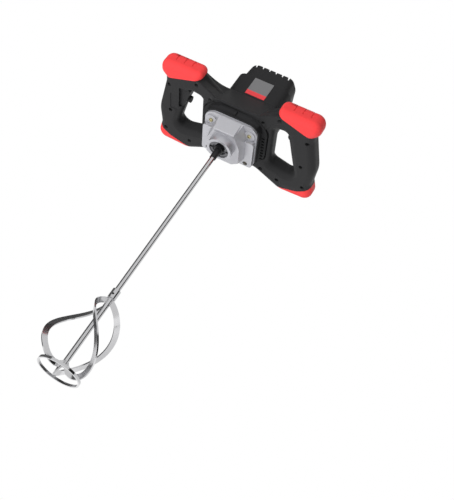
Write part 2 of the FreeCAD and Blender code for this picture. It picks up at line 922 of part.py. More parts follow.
def gear_case_outside():
    flange = prism(rectangle(S.case_half_width, S.case_front_y, S.case_rear_y, S.case_corner),
                   flange_bottom(), S.case_top_z)
    bosses = [tube(S.case_boss_radius, case_boss_face(), flange_bottom(), side * S.case_screw_x,
                   S.case_screw_front_y) for side in (-1, 1)]
    shoulder = prism(rectangle(S.shoulder_half_width, S.shoulder_front_y, S.shoulder_rear_y, 6),
                     S.shoulder_z, flange_bottom())
    ridge_side = outline([(S.case_front_y, S.case_top_z, 0), (S.case_front_y, S.case_top_z - 2, 0),
                          (S.ridge_foot_y, S.ridge_foot_z, 2), (S.ridge_heel_y, S.nose_flat_z, 0),
                          (0, S.nose_flat_z, 0), (0, S.case_top_z, 0)], lambda u, v: vec(-S.ridge_half_width, u, v))
    ridge = Part.Face(ridge_side).extrude(vec(2 * S.ridge_half_width, 0, 0))
    housing = Part.makeLoft([octagon(flange_bottom(), S.nose_flare), octagon(S.nose_flat_z, 0)], True, True)
    nose = tube(S.nose_radius, S.nose_z, S.nose_flat_z)
    return flange.fuse([shoulder, ridge, housing, nose] + bosses).removeSplitter()


def gear_floor():
    """Height of the floor on which the gears stand."""
    return S.nose_flat_z + S.nose_floor


def build_gear_case():
    case = gear_case_outside()
    x, y = layshaft_place()
    seat = S.nose_z + S.nose_hole_depth
    bearing_top = seat + S.spindle_bearing_width
    floor = gear_floor()
    slow_radius = tip_radius(S.tooth_count_spindle, S.module_slow, -S.tooth_shift) + 1.5
    fast_radius = tip_radius(S.tooth_count_layshaft, S.module_fast, -S.tooth_shift) + 1.5
    pinion_radius = tip_radius(S.tooth_count_layshaft_pinion, S.module_slow, S.tooth_shift) + 1.5
    tools = [
        tube(slow_radius, floor, FAR),
        tube(fast_radius, fast_gear_bottom() - 1.5, FAR, x, y),
        tube(pinion_radius, floor, FAR, x, y),
        tube(S.layshaft_bush_radius, floor - S.layshaft_bush_width, floor, x, y),
        motor_tube(9, slow_gear_bottom() + S.slow_gear_width + 0.5, FAR),
        tube(S.spindle_bearing_radius - 3, bearing_top, floor),
        tube(S.spindle_bearing_radius, seat, bearing_top),
        tube(S.nose_hole_radius, -FAR, seat),
    ]
    for place in retainer_screw_places():
        tools.append(tube(S.retainer_screw_radius, seat, seat + S.retainer_screw_depth, *place))
    for px, py in case_screw_places():
        tools.append(tube(S.case_screw_radius, -FAR, FAR, px, py))
        tools.append(tube(S.case_screw_recess, -FAR, case_boss_face(), px, py))
    solid_node("gear_case", case.cut(tools))


def build_gear_plate():
    """Partition above the gears, with pockets for three bearings."""
    x, y = layshaft_place()
    bottom, top = S.case_top_z, gear_plate_top()
    plate = prism(neck_corners(S.collar_wall), bottom, top)
    tools = [
        tube(S.spindle_top_bearing_radius, bottom, bottom + S.spindle_top_bearing_width),
        tube(S.layshaft_bearing_radius, bottom, bottom + S.layshaft_bearing_width, x, y),
        motor_tube(S.armature_bearing_radius, top - S.armature_bearing_width, top),
        motor_tube(S.armature_journal_radius + 1.5, bottom, top),
    ]
    tools += [tube(S.case_screw_radius, bottom, top, px, py) for px, py in case_screw_places()]
    solid_node("gear_plate", plate.cut(tools))


def retainer_screw_places():
    places = []
    for quarter in range(4):
        angle = math.radians(90 * quarter)
        places.append((S.retainer_screw_pitch * math.cos(angle), S.retainer_screw_pitch * math.sin(angle)))
    return places


# Sketched pieces: the bearing retainer and the cooling fan

def origin_plane(body, role):
    return next(plane for plane in body.Origin.OriginFeatures if plane.Role == role)


def circle_sketch(body, name, radius, center_x="retainer_screw_pitch * 0"):
    """Sketch of one circle, its radius and centre bound to the sheet."""
    sketch = body.newObject("Sketcher::SketchObject", name)
    sketch.AttachmentSupport = [(origin_plane(body, "XY_Plane"), "")]
    sketch.MapMode = "FlatFace"
    sketch.addGeometry(Part.Circle(vec(20, 0, 0), vec(0, 0, 1), 1), False)
    bound_constraint(sketch, "Radius", (0,), 1, radius)
    bound_constraint(sketch, "DistanceX", (-1, 1, 0, 3), 20, center_x)
    bound_constraint(sketch, "DistanceY", (-1, 1, 0, 3), 0, "retainer_screw_pitch * 0")
    return sketch


def bound_constraint(sketch, kind, elements, value, formula):
    """Add a dimension to a sketch and bind it to the sheet."""
    index = sketch.addConstraint(Sketcher.Constraint(kind, *elements, value))
    sketch.setExpression(f"Constraints[{index}]", bound(formula))


def pad(body, sketch, length):
    feature = body.newObject("PartDesign::Pad", sketch.Name + "Pad")
    feature.Profile = sketch
    feature.setExpression("Length", bound(length))
    doc.recompute()
    return feature


def pocket(body, sketch, length, upwards=False):
    feature = body.newObject("PartDesign::Pocket", sketch.Name + "Pocket")
    feature.Profile = sketch
    feature.Reversed = upwards
    feature.setExpression("Length", bound(length))
    doc.recompute()
    return feature


def polar(body, feature, count):
    pattern = body.newObject("PartDesign::PolarPattern", feature.Name + "Pattern")
    pattern.Originals = [feature]
    pattern.Axis = (body.Origin.OriginFeatures[2], [""])
    pattern.setExpression("Occurrences", count)
    body.Tip = pattern
    doc.recompute()
    return pattern


def build_retainer():
    """Bright ring under the lower spindle bearing, with a pocket for each screw."""
    body = doc.addObject("PartDesign::Body", "bearing_retainer")
    disc = circle_sketch(body, "RetainerDisc", "nose_hole_radius - 0.1")
    pad(body, disc, "retainer_thickness")
    hole = circle_sketch(body, "RetainerHole", "retainer_hole_radius")
    pocket(body, hole, "retainer_thickness", upwards=True)
    middle = circle_sketch(body, "RetainerMiddle", "retainer_pocket_radius")
    pocket(body, middle, "retainer_pocket_depth", upwards=True)
    lobe = circle_sketch(body, "RetainerLobe", "retainer_lobe_radius", "retainer_screw_pitch")
    polar(body, pocket(body, lobe, "retainer_pocket_depth", upwards=True), "4")
    shank = circle_sketch(body, "RetainerShank", "retainer_lobe_radius - 1.7", "retainer_screw_pitch")
    polar(body, pocket(body, shank, "retainer_thickness", upwards=True), "4")
    body.Placement = placed(0, 0, S.nose_z + S.nose_hole_depth - S.retainer_thickness)
    node(body, "bearing_retainer")


def build_fan():
    """Radial fan on the armature: a plate, a hub and straight blades."""
    body = doc.addObject("PartDesign::Body", "cooling_fan")
    pad(body, circle_sketch(body, "FanPlate", "fan_radius"), "fan_plate")
    pad(body, circle_sketch(body, "FanHub", "armature_radius + 6"), "fan_height")
    blade = body.newObject("Sketcher::SketchObject", "FanBlade")
    blade.AttachmentSupport = [(origin_plane(body, "XY_Plane"), "")]
    blade.MapMode = "FlatFace"
    corners = [vec(20, -1, 0), vec(40, -1, 0), vec(40, 1, 0), vec(20, 1, 0)]
    for i in range(4):
        blade.addGeometry(Part.LineSegment(corners[i], corners[(i + 1) % 4]), False)
    for i in range(4):
        blade.addConstraint(Sketcher.Constraint("Coincident", i, 2, (i + 1) % 4, 1))
        blade.addConstraint(Sketcher.Constraint("Horizontal" if i % 2 == 0 else "Vertical", i))
    bound_constraint(blade, "DistanceX", (-1, 1, 0, 1), 20, "armature_radius + 4")
    bound_constraint(blade, "DistanceX", (-1, 1, 0, 2), 40, "fan_radius - 1")
    bound_constraint(blade, "DistanceY", (0, 1, -1, 1), 1, "fan_plate * 0.35")
    bound_constraint(blade, "DistanceY", (1, 1, 1, 2), 2, "fan_plate * 0.7")
    polar(body, pad(body, blade, "fan_height"), bound("fan_blade_count"))
    bore = circle_sketch(body, "FanBore", "armature_radius")
    pocket(body, bore, "fan_height", upwards=True)
    body.Placement = placed(0, S.motor_offset, S.fan_bottom_z)
    node(body, "cooling_fan")


# Gears

def tip_radius(teeth, module, shift):
    return module * (teeth / 2 + 1 + shift)


def involute(angle):
    return math.tan(angle) - angle


def gear_wire(teeth, module, shift):
    """Outline of an external spur gear with involute flanks, one tooth centred on the X axis."""
    teeth = int(teeth)
    pitch_radius = module * teeth / 2
    base = pitch_radius * math.cos(PRESSURE_ANGLE)
    tip = tip_radius(teeth, module, shift)
    root = pitch_radius - module * (1.25 - shift)
    thickness = module * (math.pi / 2 + 2 * shift * math.tan(PRESSURE_ANGLE)) - S.tooth_backlash
    half = thickness / (2 * pitch_radius)

    def flank_angle(radius):
        return half + involute(PRESSURE_ANGLE) - involute(math.acos(min(1.0, base / radius)))

    def polar_point(radius, angle):
        return vec(radius * math.cos(angle), radius * math.sin(angle), 0)

    start = max(base, root)
    radii = [start + (tip - start) * step / 3 for step in range(4)]
    edges = []
    for index in range(teeth):
        middle = 2 * math.pi * index / teeth
        following = middle + 2 * math.pi / teeth
        rising = [polar_point(radius, middle - flank_angle(radius)) for radius in radii]
        falling = [polar_point(radius, middle + flank_angle(radius)) for radius in reversed(radii)]
        foot = flank_angle(start)
        if root < base:
            edges.append(Part.LineSegment(polar_point(root, middle - foot), rising[0]).toShape())
        for side in (rising, falling):
            curve = Part.BSplineCurve()
            curve.interpolate(side)
            if side is falling:
                edges.append(Part.Arc(rising[-1], polar_point(tip, middle), falling[0]).toShape())
            edges.append(curve.toShape())
        if root < base:
            edges.append(Part.LineSegment(falling[-1], polar_point(root, middle + foot)).toShape())
        gap_start = polar_point(root, middle + foot)
        gap_end = polar_point(root, following - foot)
        edges.append(Part.Arc(gap_start, polar_point(root, (middle + following) / 2), gap_end).toShape())
    return Part.Wire(edges)


def gear_solid(teeth, module, shift, width, angle):
    """Toothed disc from z = 0 upwards, turned so that a tooth points along the angle in radians."""
    face = Part.Face(gear_wire(teeth, module, shift))
    solid = face.extrude(vec(0, 0, width))
    solid.rotate(vec(0, 0, 0), vec(0, 0, 1), math.degrees(angle))
    return solid


def fast_distance():
    return S.module_fast * (S.tooth_count_motor + S.tooth_count_layshaft) / 2


def slow_distance():
    return S.module_slow * (S.tooth_count_layshaft_pinion + S.tooth_count_spindle) / 2


def layshaft_place():
    """Plan position of the layshaft, in mesh with both the armature and the spindle."""
    offset, fast, slow = S.motor_offset, fast_distance(), slow_distance()
    y = (slow ** 2 - fast ** 2 + offset ** 2) / (2 * offset)
    return math.sqrt(slow ** 2 - y ** 2), y


def fast_gear_bottom():
    return S.case_top_z - 3.5 - S.fast_gear_width


def slow_gear_bottom():
    return gear_floor() + 2


def build_gear_train():
    """Spindle gear, layshaft with pinion and gear, and the toothed armature shaft, in mesh at rest."""
    x, y = layshaft_place()
    bottom = slow_gear_bottom()
    to_layshaft = math.atan2(y, x)
    wheel = gear_solid(S.tooth_count_spindle, S.module_slow, -S.tooth_shift, S.slow_gear_width, to_layshaft)
    wheel.translate(vec(0, 0, bottom))
    solid_node("spindle_gear", wheel.cut(tube(S.spindle_radius, -FAR, FAR)))

    pinion_turn = to_layshaft + math.pi + math.pi / S.tooth_count_layshaft_pinion
    pinion = gear_solid(S.tooth_count_layshaft_pinion, S.module_slow, S.tooth_shift, S.slow_gear_width + 2,
                        pinion_turn)
    pinion.translate(vec(0, 0, bottom - 1))
    floor = gear_floor()
    top = S.case_top_z + S.layshaft_bearing_width - 0.5
    shaft = tube(S.layshaft_radius, floor - S.layshaft_bush_width + 1, top).fuse(pinion)
    seat = tube(S.layshaft_radius + 2, bottom + S.slow_gear_width + 1, fast_gear_bottom())
    shaft = shaft.fuse(seat)
    shaft.translate(vec(x, y, 0))
    solid_node("layshaft", shaft)

    to_layshaft_fast = math.atan2(y - S.motor_offset, x)
    gear = gear_solid(S.tooth_count_layshaft, S.module_fast, -S.tooth_shift, S.fast_gear_width,
                      to_layshaft_fast + math.pi + math.pi / S.tooth_count_layshaft)
    gear.translate(vec(x, y, fast_gear_bottom()))
    spacer = tube(S.layshaft_radius + 2, fast_gear_bottom(), S.case_top_z - 0.3, x, y)
    solid_node("layshaft_gear", gear.fuse(spacer).cut(tube(S.layshaft_radius, -FAR, FAR, x, y)))

    teeth = gear_solid(S.tooth_count_motor, S.module_fast, S.tooth_shift, S.fast_gear_width + 2, to_layshaft_fast)
    teeth.translate(vec(0, 0, fast_gear_bottom() - 1))
    journal_bottom = fast_gear_bottom() + S.fast_gear_width + 1
    plate_top = gear_plate_top()
    commutator_bottom = S.brush_z - S.commutator_length / 2
    commutator_top = S.brush_z + S.commutator_length / 2
    end = S.block_top_z + S.armature_top_bearing_width - 0.5
    pieces = [
        tube(S.armature_journal_radius, journal_bottom, plate_top + 1),
        tube(S.armature_radius, plate_top + 1, commutator_bottom),
        tube(S.armature_radius - 1, commutator_bottom, commutator_top),
        tube(S.armature_top_radius, commutator_top, end),
    ]
    armature = teeth.fuse(pieces)
    armature.translate(vec(0, S.motor_offset, 0))
    solid_node("armature_shaft", armature.removeSplitter())


# Bearings, motor pieces and brushes

def build_bearings():
    x, y = layshaft_place()
    seat = S.nose_z + S.nose_hole_depth
    floor = gear_floor()
    ring("spindle_lower_bearing", "spindle_bearing_radius", "spindle_radius + running_fit",
         "spindle_bearing_width", placed(0, 0, seat))
    ring("spindle_upper_bearing", "spindle_top_bearing_radius", "spindle_top_radius + running_fit",
         "spindle_top_bearing_width", placed(0, 0, S.case_top_z))
    ring("layshaft_upper_bearing", "layshaft_bearing_radius", "layshaft_radius + running_fit",
         "layshaft_bearing_width", placed(x, y, S.case_top_z))
    ring("layshaft_lower_bush", "layshaft_bush_radius", "layshaft_radius + running_fit",
         "layshaft_bush_width", placed(x, y, floor - S.layshaft_bush_width))
    ring("armature_lower_bearing", "armature_bearing_radius", "armature_journal_radius + running_fit",
         "armature_bearing_width", placed(0, S.motor_offset, gear_plate_top() - S.armature_bearing_width))
    ring("armature_upper_bearing", "armature_top_bearing_radius", "armature_top_radius + running_fit",
         "armature_top_bearing_width", placed(0, S.motor_offset, S.block_top_z))


def coil_places():
    """Angles at which a field coil goes through the stator, for the coil on the front side."""
    return [math.radians(angle) for angle in (-145, -35)]


def coil(side):
    """One field coil: an arc over each end of the stator and a bar through it at each end of the arcs."""
    half = S.coil_thickness / 2
    low = S.stator_bottom_z - S.coil_overhang
    high = S.stator_bottom_z + S.stator_length + S.coil_overhang
    band = tube(S.coil_radius + half, low, high).cut(tube(S.coil_radius - half, low, high))
    first, last = coil_places()
    reach = 2 * S.coil_radius
    wedge = Part.Face(Part.makePolygon([
        vec(0, 0, low), vec(reach * math.cos(first), reach * math.sin(first), low),
        vec(0, -2 * reach, low), vec(reach * math.cos(last), reach * math.sin(last), low), vec(0, 0, low)]))
    arcs = band.common(wedge.extrude(vec(0, 0, high - low)))
    arcs = arcs.cut(tube(FAR, S.stator_bottom_z, S.stator_bottom_z + S.stator_length))
    bars = [tube(half, low, high, S.coil_radius * math.cos(a), S.coil_radius * math.sin(a))
            for a in coil_places()]
    shape = arcs.fuse(bars).removeSplitter()
    if side > 0:
        shape = shape.mirror(vec(0, 0, 0), vec(0, 1, 0))
    shape.translate(vec(0, S.motor_offset, 0))
    return shape


def build_motor():
    bottom = S.stator_bottom_z
    axis = S.motor_offset
    coils = [coil(-1), coil(1)]
    stator = motor_tube(S.motor_bore_radius, bottom, bottom + S.stator_length)
    stator = stator.cut([motor_tube(S.core_radius + S.air_gap, bottom, FAR)] + coils)
    solid_node("stator_core", stator)
    solid_node("field_coils", Part.makeCompound(coils))

    core_bottom = bottom + 4
    ring("armature_core", "core_radius", "armature_radius", "stator_length - 8", placed(0, axis, core_bottom))
    windings = []
    for name, height in (("low", core_bottom - S.coil_overhang),
                         ("high", core_bottom + S.stator_length - 8)):
        rim = cylinder(f"winding_{name}_rim", "core_radius - 2", "coil_overhang", placed(0, axis, height))
        hole = cylinder(f"winding_{name}_hole", "armature_radius", "coil_overhang", placed(0, axis, height))
        windings.append(cut(f"winding_{name}", rim, hole))
    node(group("armature_windings", windings), "armature_windings")
    ring("commutator", "commutator_radius", "armature_radius - 1", "commutator_length",
         placed(0, axis, S.brush_z - S.commutator_length / 2))
    ring("air_baffle", "fan_opening_radius", "baffle_opening_radius", "baffle_thickness",
         placed(0, axis, -S.baffle_thickness))


def build_brushes():
    """Holders screwed through the block's sides, each with a carbon brush and a slotted cap."""
    near = S.commutator_radius + S.brush_gap
    holders, brushes, caps = [], [], []
    reach = "block_half_width - commutator_radius - brush_gap"
    for side, axis in ((1, "x"), (-1, "-x")):
        tag = "right" if side > 0 else "left"
        start = side * (near + 4)
        body = cylinder(f"holder_{tag}_body", "brush_holder_radius",
                        reach + " - 4",
                        placed(start, S.motor_offset, S.brush_z, axis))
        low_x = near if side > 0 else -brush_seat()
        slot_place = placed(low_x, S.motor_offset - S.brush_width / 2, S.brush_z - S.brush_height / 2)
        slot = box(f"holder_{tag}_slot", reach, "brush_width", "brush_height", slot_place)
        holders.append(cut(f"holder_{tag}", body, slot))
        brush_x = near if side > 0 else -near - 22
        brushes.append(box(f"brush_{tag}", "22", "brush_width", "brush_height",
                           placed(brush_x, S.motor_offset - S.brush_width / 2, S.brush_z - S.brush_height / 2)))
        cap = cylinder(f"cap_{tag}_body", "brush_cap_radius", "6",
                       placed(side * brush_seat(), S.motor_offset, S.brush_z, axis))
        outer = brush_seat() + 4
        key_x = outer if side > 0 else -outer - 3
        key = box(f"cap_{tag}_slot", "3", "30", "2", placed(key_x, S.motor_offset - 15, S.brush_z - 1))
        caps.append(cut(f"cap_{tag}", cap, key))
    node(group("brush_holders", holders), "brush_holders")
    node(group("carbon_brushes", brushes), "carbon_brushes")
    node(group("brush_caps", caps), "brush_caps")


# Spindle, rod and paddle

def build_spindle():
    seat = S.nose_z + S.nose_hole_depth
    top = S.case_top_z + S.spindle_top_bearing_width - 0.5
    shaft = cylinder("spindle_shaft", "spindle_radius", "case_top_z - 0.5 - nose_z - nose_hole_depth",
                     placed(0, 0, seat))
    journal = cylinder("spindle_journal", "spindle_top_radius", "spindle_top_bearing_width",
                       placed(0, 0, top - S.spindle_top_bearing_width))
    flange = cylinder("spindle_flange", "spindle_nose_radius", "nose_z + nose_hole_depth - spindle_end_z - 0.3",
                      placed(0, 0, S.spindle_end_z))
    socket = cylinder("spindle_socket", "adapter_stud_radius", "stud_length", placed(0, 0, S.spindle_end_z))
    neck = cylinder("spindle_neck", "spindle_radius", "2", placed(0, 0, seat - 1))
    solid = fuse("spindle_solid", [shaft, journal, flange, neck])
    node(cut("output_spindle", solid, socket), "output_spindle")


def build_rod():
    stud = cylinder("adapter_stud", "adapter_stud_radius", "stud_length", placed(0, 0, S.spindle_end_z))
    body = cone("adapter_body", "adapter_radius - 0.5", "adapter_radius", "spindle_end_z - adapter_end_z",
                placed(0, 0, S.adapter_end_z))
    hole = cylinder("adapter_hole", "rod_radius", "rod_grip", placed(0, 0, S.adapter_end_z))
    node(cut("rod_adapter", fuse("adapter_solid", [stud, body]), hole), "rod_adapter")

    rod = cylinder("mixing_rod", "rod_radius", "adapter_end_z + rod_grip - rod_end_z", placed(0, 0, S.rod_end_z))
    node(rod, "mixing_rod")

    low = S.sleeve_top_z - S.sleeve_length
    sleeve = cylinder("sleeve_body", "sleeve_radius", "sleeve_length", placed(0, 0, low))
    bore = cylinder("sleeve_bore", "rod_radius", "sleeve_length", placed(0, 0, low))
    turned = cut("sleeve_turned", sleeve, bore)
    hole = cylinder("sleeve_screw_hole", "rod_radius * 0.4", "sleeve_radius", sleeve_screw_placement())
    node(cut("rod_sleeve", turned, hole), "rod_sleeve")
    blank = cylinder("set_screw_blank", "rod_radius * 0.4", "sleeve_radius - 0.8", sleeve_screw_placement())
    core = cylinder("set_screw_core", "rod_radius", "sleeve_length", placed(0, 0, low))
    node(cut("sleeve_set_screw", blank, core), "sleeve_set_screw")


def sleeve_screw_placement():
    """Set screw on the front of the sleeve, pointing away from the rod."""
    height = S.sleeve_top_z - 0.6 * S.sleeve_length
    return FreeCAD.Placement(vec(0, 0, height), FreeCAD.Rotation(vec(1, 0, 0), 90))


def blade_curve():
    """Centre line of a ribbon blade in the plane of radius and height, from the upper to the lower weld."""
    belly, foot = S.blade_belly_radius, S.blade_foot_radius
    rise = S.blade_belly_z - S.blade_top_z
    fall = S.blade_foot_z - S.blade_belly_z
    points = [
        vec(2, S.blade_top_z, 0),
        vec(0.6 * belly, S.blade_top_z + 0.3 * rise, 0),
        vec(0.93 * belly, S.blade_top_z + 0.68 * rise, 0),
        vec(belly, S.blade_belly_z, 0),
        vec(0.88 * belly, S.blade_belly_z + 0.62 * fall, 0),
        vec(foot, S.blade_foot_z, 0),
        vec(2, S.blade_foot_z + 0.2 * abs(fall), 0),
    ]
    curve = Part.BSplineCurve()
    curve.interpolate(points)
    return curve


def blade(turn):
    """Flat strip on edge along the centre line, wound about the rod."""
    curve = blade_curve()
    length = curve.length()
    wires = []
    for station in range(BLADE_STATIONS):
        share = station / (BLADE_STATIONS - 1)
        parameter = curve.parameterAtDistance(share * length, curve.FirstParameter)
        point = curve.value(parameter)
        along = curve.tangent(parameter)[0]
        angle = math.radians(S.blade_start_angle + turn + S.blade_twist * share)
        outward = vec(math.cos(angle), math.sin(angle), 0)
        sideways = vec(-math.sin(angle), math.cos(angle), 0)
        winding = math.radians(S.blade_twist) * point.x / length
        tangent = outward * along.x + vec(0, 0, along.y) + sideways * winding
        width_dir = outward * along.y - vec(0, 0, along.x)
        thick_dir = tangent.cross(width_dir).normalize()
        center = outward * point.x + vec(0, 0, point.y)
        half_width = width_dir * (S.blade_width / 2)
        half_thick = thick_dir * (S.blade_thickness / 2)
        ring_points = [center + half_width + half_thick, center - half_width + half_thick,
                       center - half_width - half_thick, center + half_width - half_thick]
        wires.append(Part.makePolygon(ring_points + ring_points[:1]))
    return Part.makeLoft(wires, True, False)


def build_paddle():
    rod = tube(S.rod_radius, S.rod_end_z, 0)
    low, high = S.ring_bottom_z, S.ring_bottom_z + S.ring_height
    half = S.ring_thickness / 2
    hoop = tube(S.ring_radius + half, low, high).cut(tube(S.ring_radius - half, low, high))
    solid_node("bottom_ring", hoop)
    for index in range(BLADE_COUNT):
        shape = blade(index * 360 / BLADE_COUNT).cut([rod, hoop])
        solid_node(f"ribbon_blade_{index + 1}", max(shape.Solids, key=lambda piece: piece.Volume))


# Trigger, lock button, switch, speed dial and module

def lever_corners():
    """Plan corners of the trigger lever, from its front end to the pivot."""
    x, y = -S.trigger_pivot_x, S.trigger_pivot_y
    front = S.trigger_front_y
    return [(x + 4, front, 3), (-S.trigger_nose_x, front, 5), (-S.trigger_face_x, S.trigger_face_y, 60),
            (-S.trigger_heel_x, S.trigger_heel_y, 6), (x + 5, y - 4, 0), (x - S.trigger_tail_radius, y, 0)]


def build_trigger():
    x, y = -S.trigger_pivot_x, S.trigger_pivot_y
    low, high = S.trigger_bottom_z, S.trigger_top_z
    lever = prism(lever_corners(), low, high)
    lever = lever.fuse(tube(S.trigger_tail_radius, low, high, x, y)).removeSplitter()
    nib = block(-S.nib_end_x, x + 5, S.nib_y - S.nib_width / 2, S.nib_y + S.nib_width / 2,
                -S.nib_half_height, S.nib_half_height)
    bore = rod_along("x", S.button_radius + 0.2, vec(button_back() - 4, S.button_y, S.button_z),
                     vec(-100, S.button_y, S.button_z))
    pin_hole = tube(S.trigger_pin_radius + S.running_fit, -FAR, FAR, x, y)
    solid_node("trigger", lever.fuse(nib).cut([bore, pin_hole]))
    pin = cylinder("trigger_pin", "trigger_pin_radius", "trigger_top_z - trigger_bottom_z + 6",
                   placed(x, y, pin_low()))
    node(pin, "trigger_pin")
    button = cylinder("lock_button", "button_radius", "button_length",
                      placed(button_back(), S.button_y, S.button_z, "x"))
    node(button, "lock_button")


def button_back():
    return -S.button_face_x - S.button_length


def build_switch():
    """Switch behind the trigger, with a slot for the trigger's nib, and the same block behind the dial."""
    near, far, half = S.switch_near_x, S.switch_far_x, S.switch_half_height
    module = block(near, far, S.switch_front_y, S.switch_rear_y, -half, half)
    solid_node("speed_module", module)
    reach = S.switch_slot_width / 2
    lift = S.nib_half_height + 1.5
    slot = block(2 - far, -near, S.switch_slot_y - reach, S.switch_slot_y + reach, -lift, lift)
    solid_node("trigger_switch", mirrored(module).cut(slot))


def build_dial():
    wheel = cylinder("dial_wheel", "dial_radius", "dial_height",
                     placed(S.dial_x, S.dial_y, -S.dial_height / 2))
    reach = dial_reach() - 0.3
    shaft = cylinder("dial_shaft", "dial_shaft_radius", "2 * (frame_half_height - 7.3)",
                     placed(S.dial_x, S.dial_y, -reach))
    node(fuse("speed_dial", [wheel, shaft]), "speed_dial")


# Fasteners

def screw(name, head_radius, head_height, radius, length, x, y, seat, up=True):
    """Pan-head screw whose head rests at the seat height, pointing up or down."""
    if up:
        head_low, shank_low = seat - head_height, seat
    else:
        head_low, shank_low = seat, seat - length
    head = cylinder(name + "_head", str(head_radius), str(head_height), placed(x, y, head_low))
    shank = cylinder(name + "_shank", str(radius), str(length), placed(x, y, shank_low))
    return fuse(name, [head, shank])


def build_screws():
    handle = []
    for name, (x, y) in shell_screw_places().items():
        for side in (-1, 1):
            tag = f"{name}_{'right' if side > 0 else 'left'}"
            handle.append(screw(f"shell_screw_{tag}", S.screw_head_radius, S.screw_head_height, S.screw_radius,
                                S.screw_tip_z - S.screw_seat_z, side * x, y, S.screw_seat_z))
    node(group("shell_screws", handle), "shell_screws")

    case = [screw(f"case_screw_{index}", S.case_screw_head_radius, S.case_screw_head_height, S.case_screw_radius,
                  case_screw_tip() - case_boss_face(), x, y, case_boss_face())
            for index, (x, y) in enumerate(case_screw_places())]
    node(group("gear_case_screws", case), "gear_case_screws")

    seat = S.nose_z + S.nose_hole_depth
    head_seat = seat - S.retainer_thickness + S.retainer_pocket_depth
    small = [screw(f"retainer_screw_{index}", S.retainer_screw_head_radius, S.retainer_screw_head_height,
                   S.retainer_screw_radius, seat + S.retainer_screw_depth - head_seat, x, y, head_seat)
             for index, (x, y) in enumerate(retainer_screw_places())]
    node(group("retainer_screws", small), "retainer_screws")

    cap = [screw(f"cap_screw_{index}", S.screw_head_radius, S.screw_head_height, S.screw_radius,
                 cap_screw_seat() - cap_screw_tip(), x, y, cap_screw_seat(), up=False)
           for index, (x, y) in enumerate(cap_screw_places())]
    node(group("end_cap_screws", cap), "end_cap_screws")


def check_document():
    """Stop before anything is written if an object failed or a piece has no valid shape."""
    doc.recompute()
    failed = [obj.Name for obj in doc.Objects if "Invalid" in obj.State or "Error" in obj.State]
    bad = [obj.Label for obj in nodes if obj.Shape.isNull() or not obj.Shape.isValid() or not obj.Shape.Solids]
    if failed or bad:
        raise RuntimeError(f"failed objects {failed}, pieces without a valid shape {bad}")


def write_pieces():
    os.makedirs("parts", exist_ok=True)
    for obj in nodes:
        obj.Shape.exportStep(f"parts/{obj.Label}.step")
        print(f"{obj.Label}: {len(obj.Shape.Solids)} solid(s), {obj.Shape.Volume / 1000:.2f} cm3")


build_shells()
build_end_cap()
build_plate()
build_gland()
build_collar()
build_gear_case()
build_gear_plate()
build_retainer()
build_fan()
build_gear_train()
build_bearings()
build_motor()
build_brushes()
build_spindle()
build_rod()
build_paddle()
build_trigger()
build_switch()
build_dial()
build_screws()
check_document()
write_pieces()
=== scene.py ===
"""Dressed scene of a two-handed mixing drill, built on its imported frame.

Every length is in metres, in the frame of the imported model: +Z up along the spindle axis, -Y to the front
with the bumpers, +X to the grip with the speed dial, origin between the two hand grips.
"""
from __future__ import annotations

import json
import logging
import math
from dataclasses import dataclass, field, fields
from enum import Enum

import bmesh
import bpy
from mathutils import Matrix, Vector

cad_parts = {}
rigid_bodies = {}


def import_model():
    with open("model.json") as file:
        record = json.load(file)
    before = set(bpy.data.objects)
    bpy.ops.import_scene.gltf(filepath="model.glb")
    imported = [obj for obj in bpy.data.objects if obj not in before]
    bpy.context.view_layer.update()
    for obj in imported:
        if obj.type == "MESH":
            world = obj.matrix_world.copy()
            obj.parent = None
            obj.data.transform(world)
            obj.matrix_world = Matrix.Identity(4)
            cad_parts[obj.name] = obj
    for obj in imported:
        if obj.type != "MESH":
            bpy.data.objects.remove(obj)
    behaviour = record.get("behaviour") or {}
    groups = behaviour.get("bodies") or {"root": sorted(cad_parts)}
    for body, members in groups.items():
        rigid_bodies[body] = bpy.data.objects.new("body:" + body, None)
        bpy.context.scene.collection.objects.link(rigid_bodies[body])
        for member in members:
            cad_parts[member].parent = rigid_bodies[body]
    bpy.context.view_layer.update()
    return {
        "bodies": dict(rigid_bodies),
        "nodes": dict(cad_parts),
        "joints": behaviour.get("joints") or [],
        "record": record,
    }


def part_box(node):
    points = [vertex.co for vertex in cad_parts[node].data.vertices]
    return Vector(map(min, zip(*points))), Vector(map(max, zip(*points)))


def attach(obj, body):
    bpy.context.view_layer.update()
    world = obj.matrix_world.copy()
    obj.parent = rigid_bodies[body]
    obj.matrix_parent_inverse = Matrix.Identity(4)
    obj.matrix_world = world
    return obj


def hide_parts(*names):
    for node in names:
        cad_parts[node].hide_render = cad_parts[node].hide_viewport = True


log = logging.getLogger("mixing_drill")

Colour = tuple[float, float, float]
Point = tuple[float, float, float]
Pair = tuple[float, float]

SIDES = (-1.0, 1.0)
WHITE = (1.0, 1.0, 1.0)

# Clean-up of a copied CAD mesh
WELD_DISTANCE = 1e-6
FLAT_ANGLE = math.radians(0.2)

# Form of a cross screw: its sides, shares of its head's sizes, and its turn in radians
HEAD_SIDES = 32
SHANK_SIDES = 16
CROWN_SHARE = 0.35
RIM_SHARE = 0.65
CROWN_TOP = 0.72
RECESS_SPAN = 1.15
RECESS_WIDTH = 0.26
RECESS_DEPTH = 0.55
SCREW_TURN = 0.5

# Form of ribs and weld beads
RIB_SIDES = 8
BEAD_SUBDIVISIONS = 3
BEAD_SEED = 7


class Body(Enum):
    """Bodies of the drill that move apart from each other."""

    HOUSING = "housing"
    SPINDLE = "spindle"
    LAYSHAFT = "layshaft"
    ARMATURE = "armature"
    TRIGGER = "trigger"
    BUTTON = "lock_button"
    DIAL = "speed_dial"


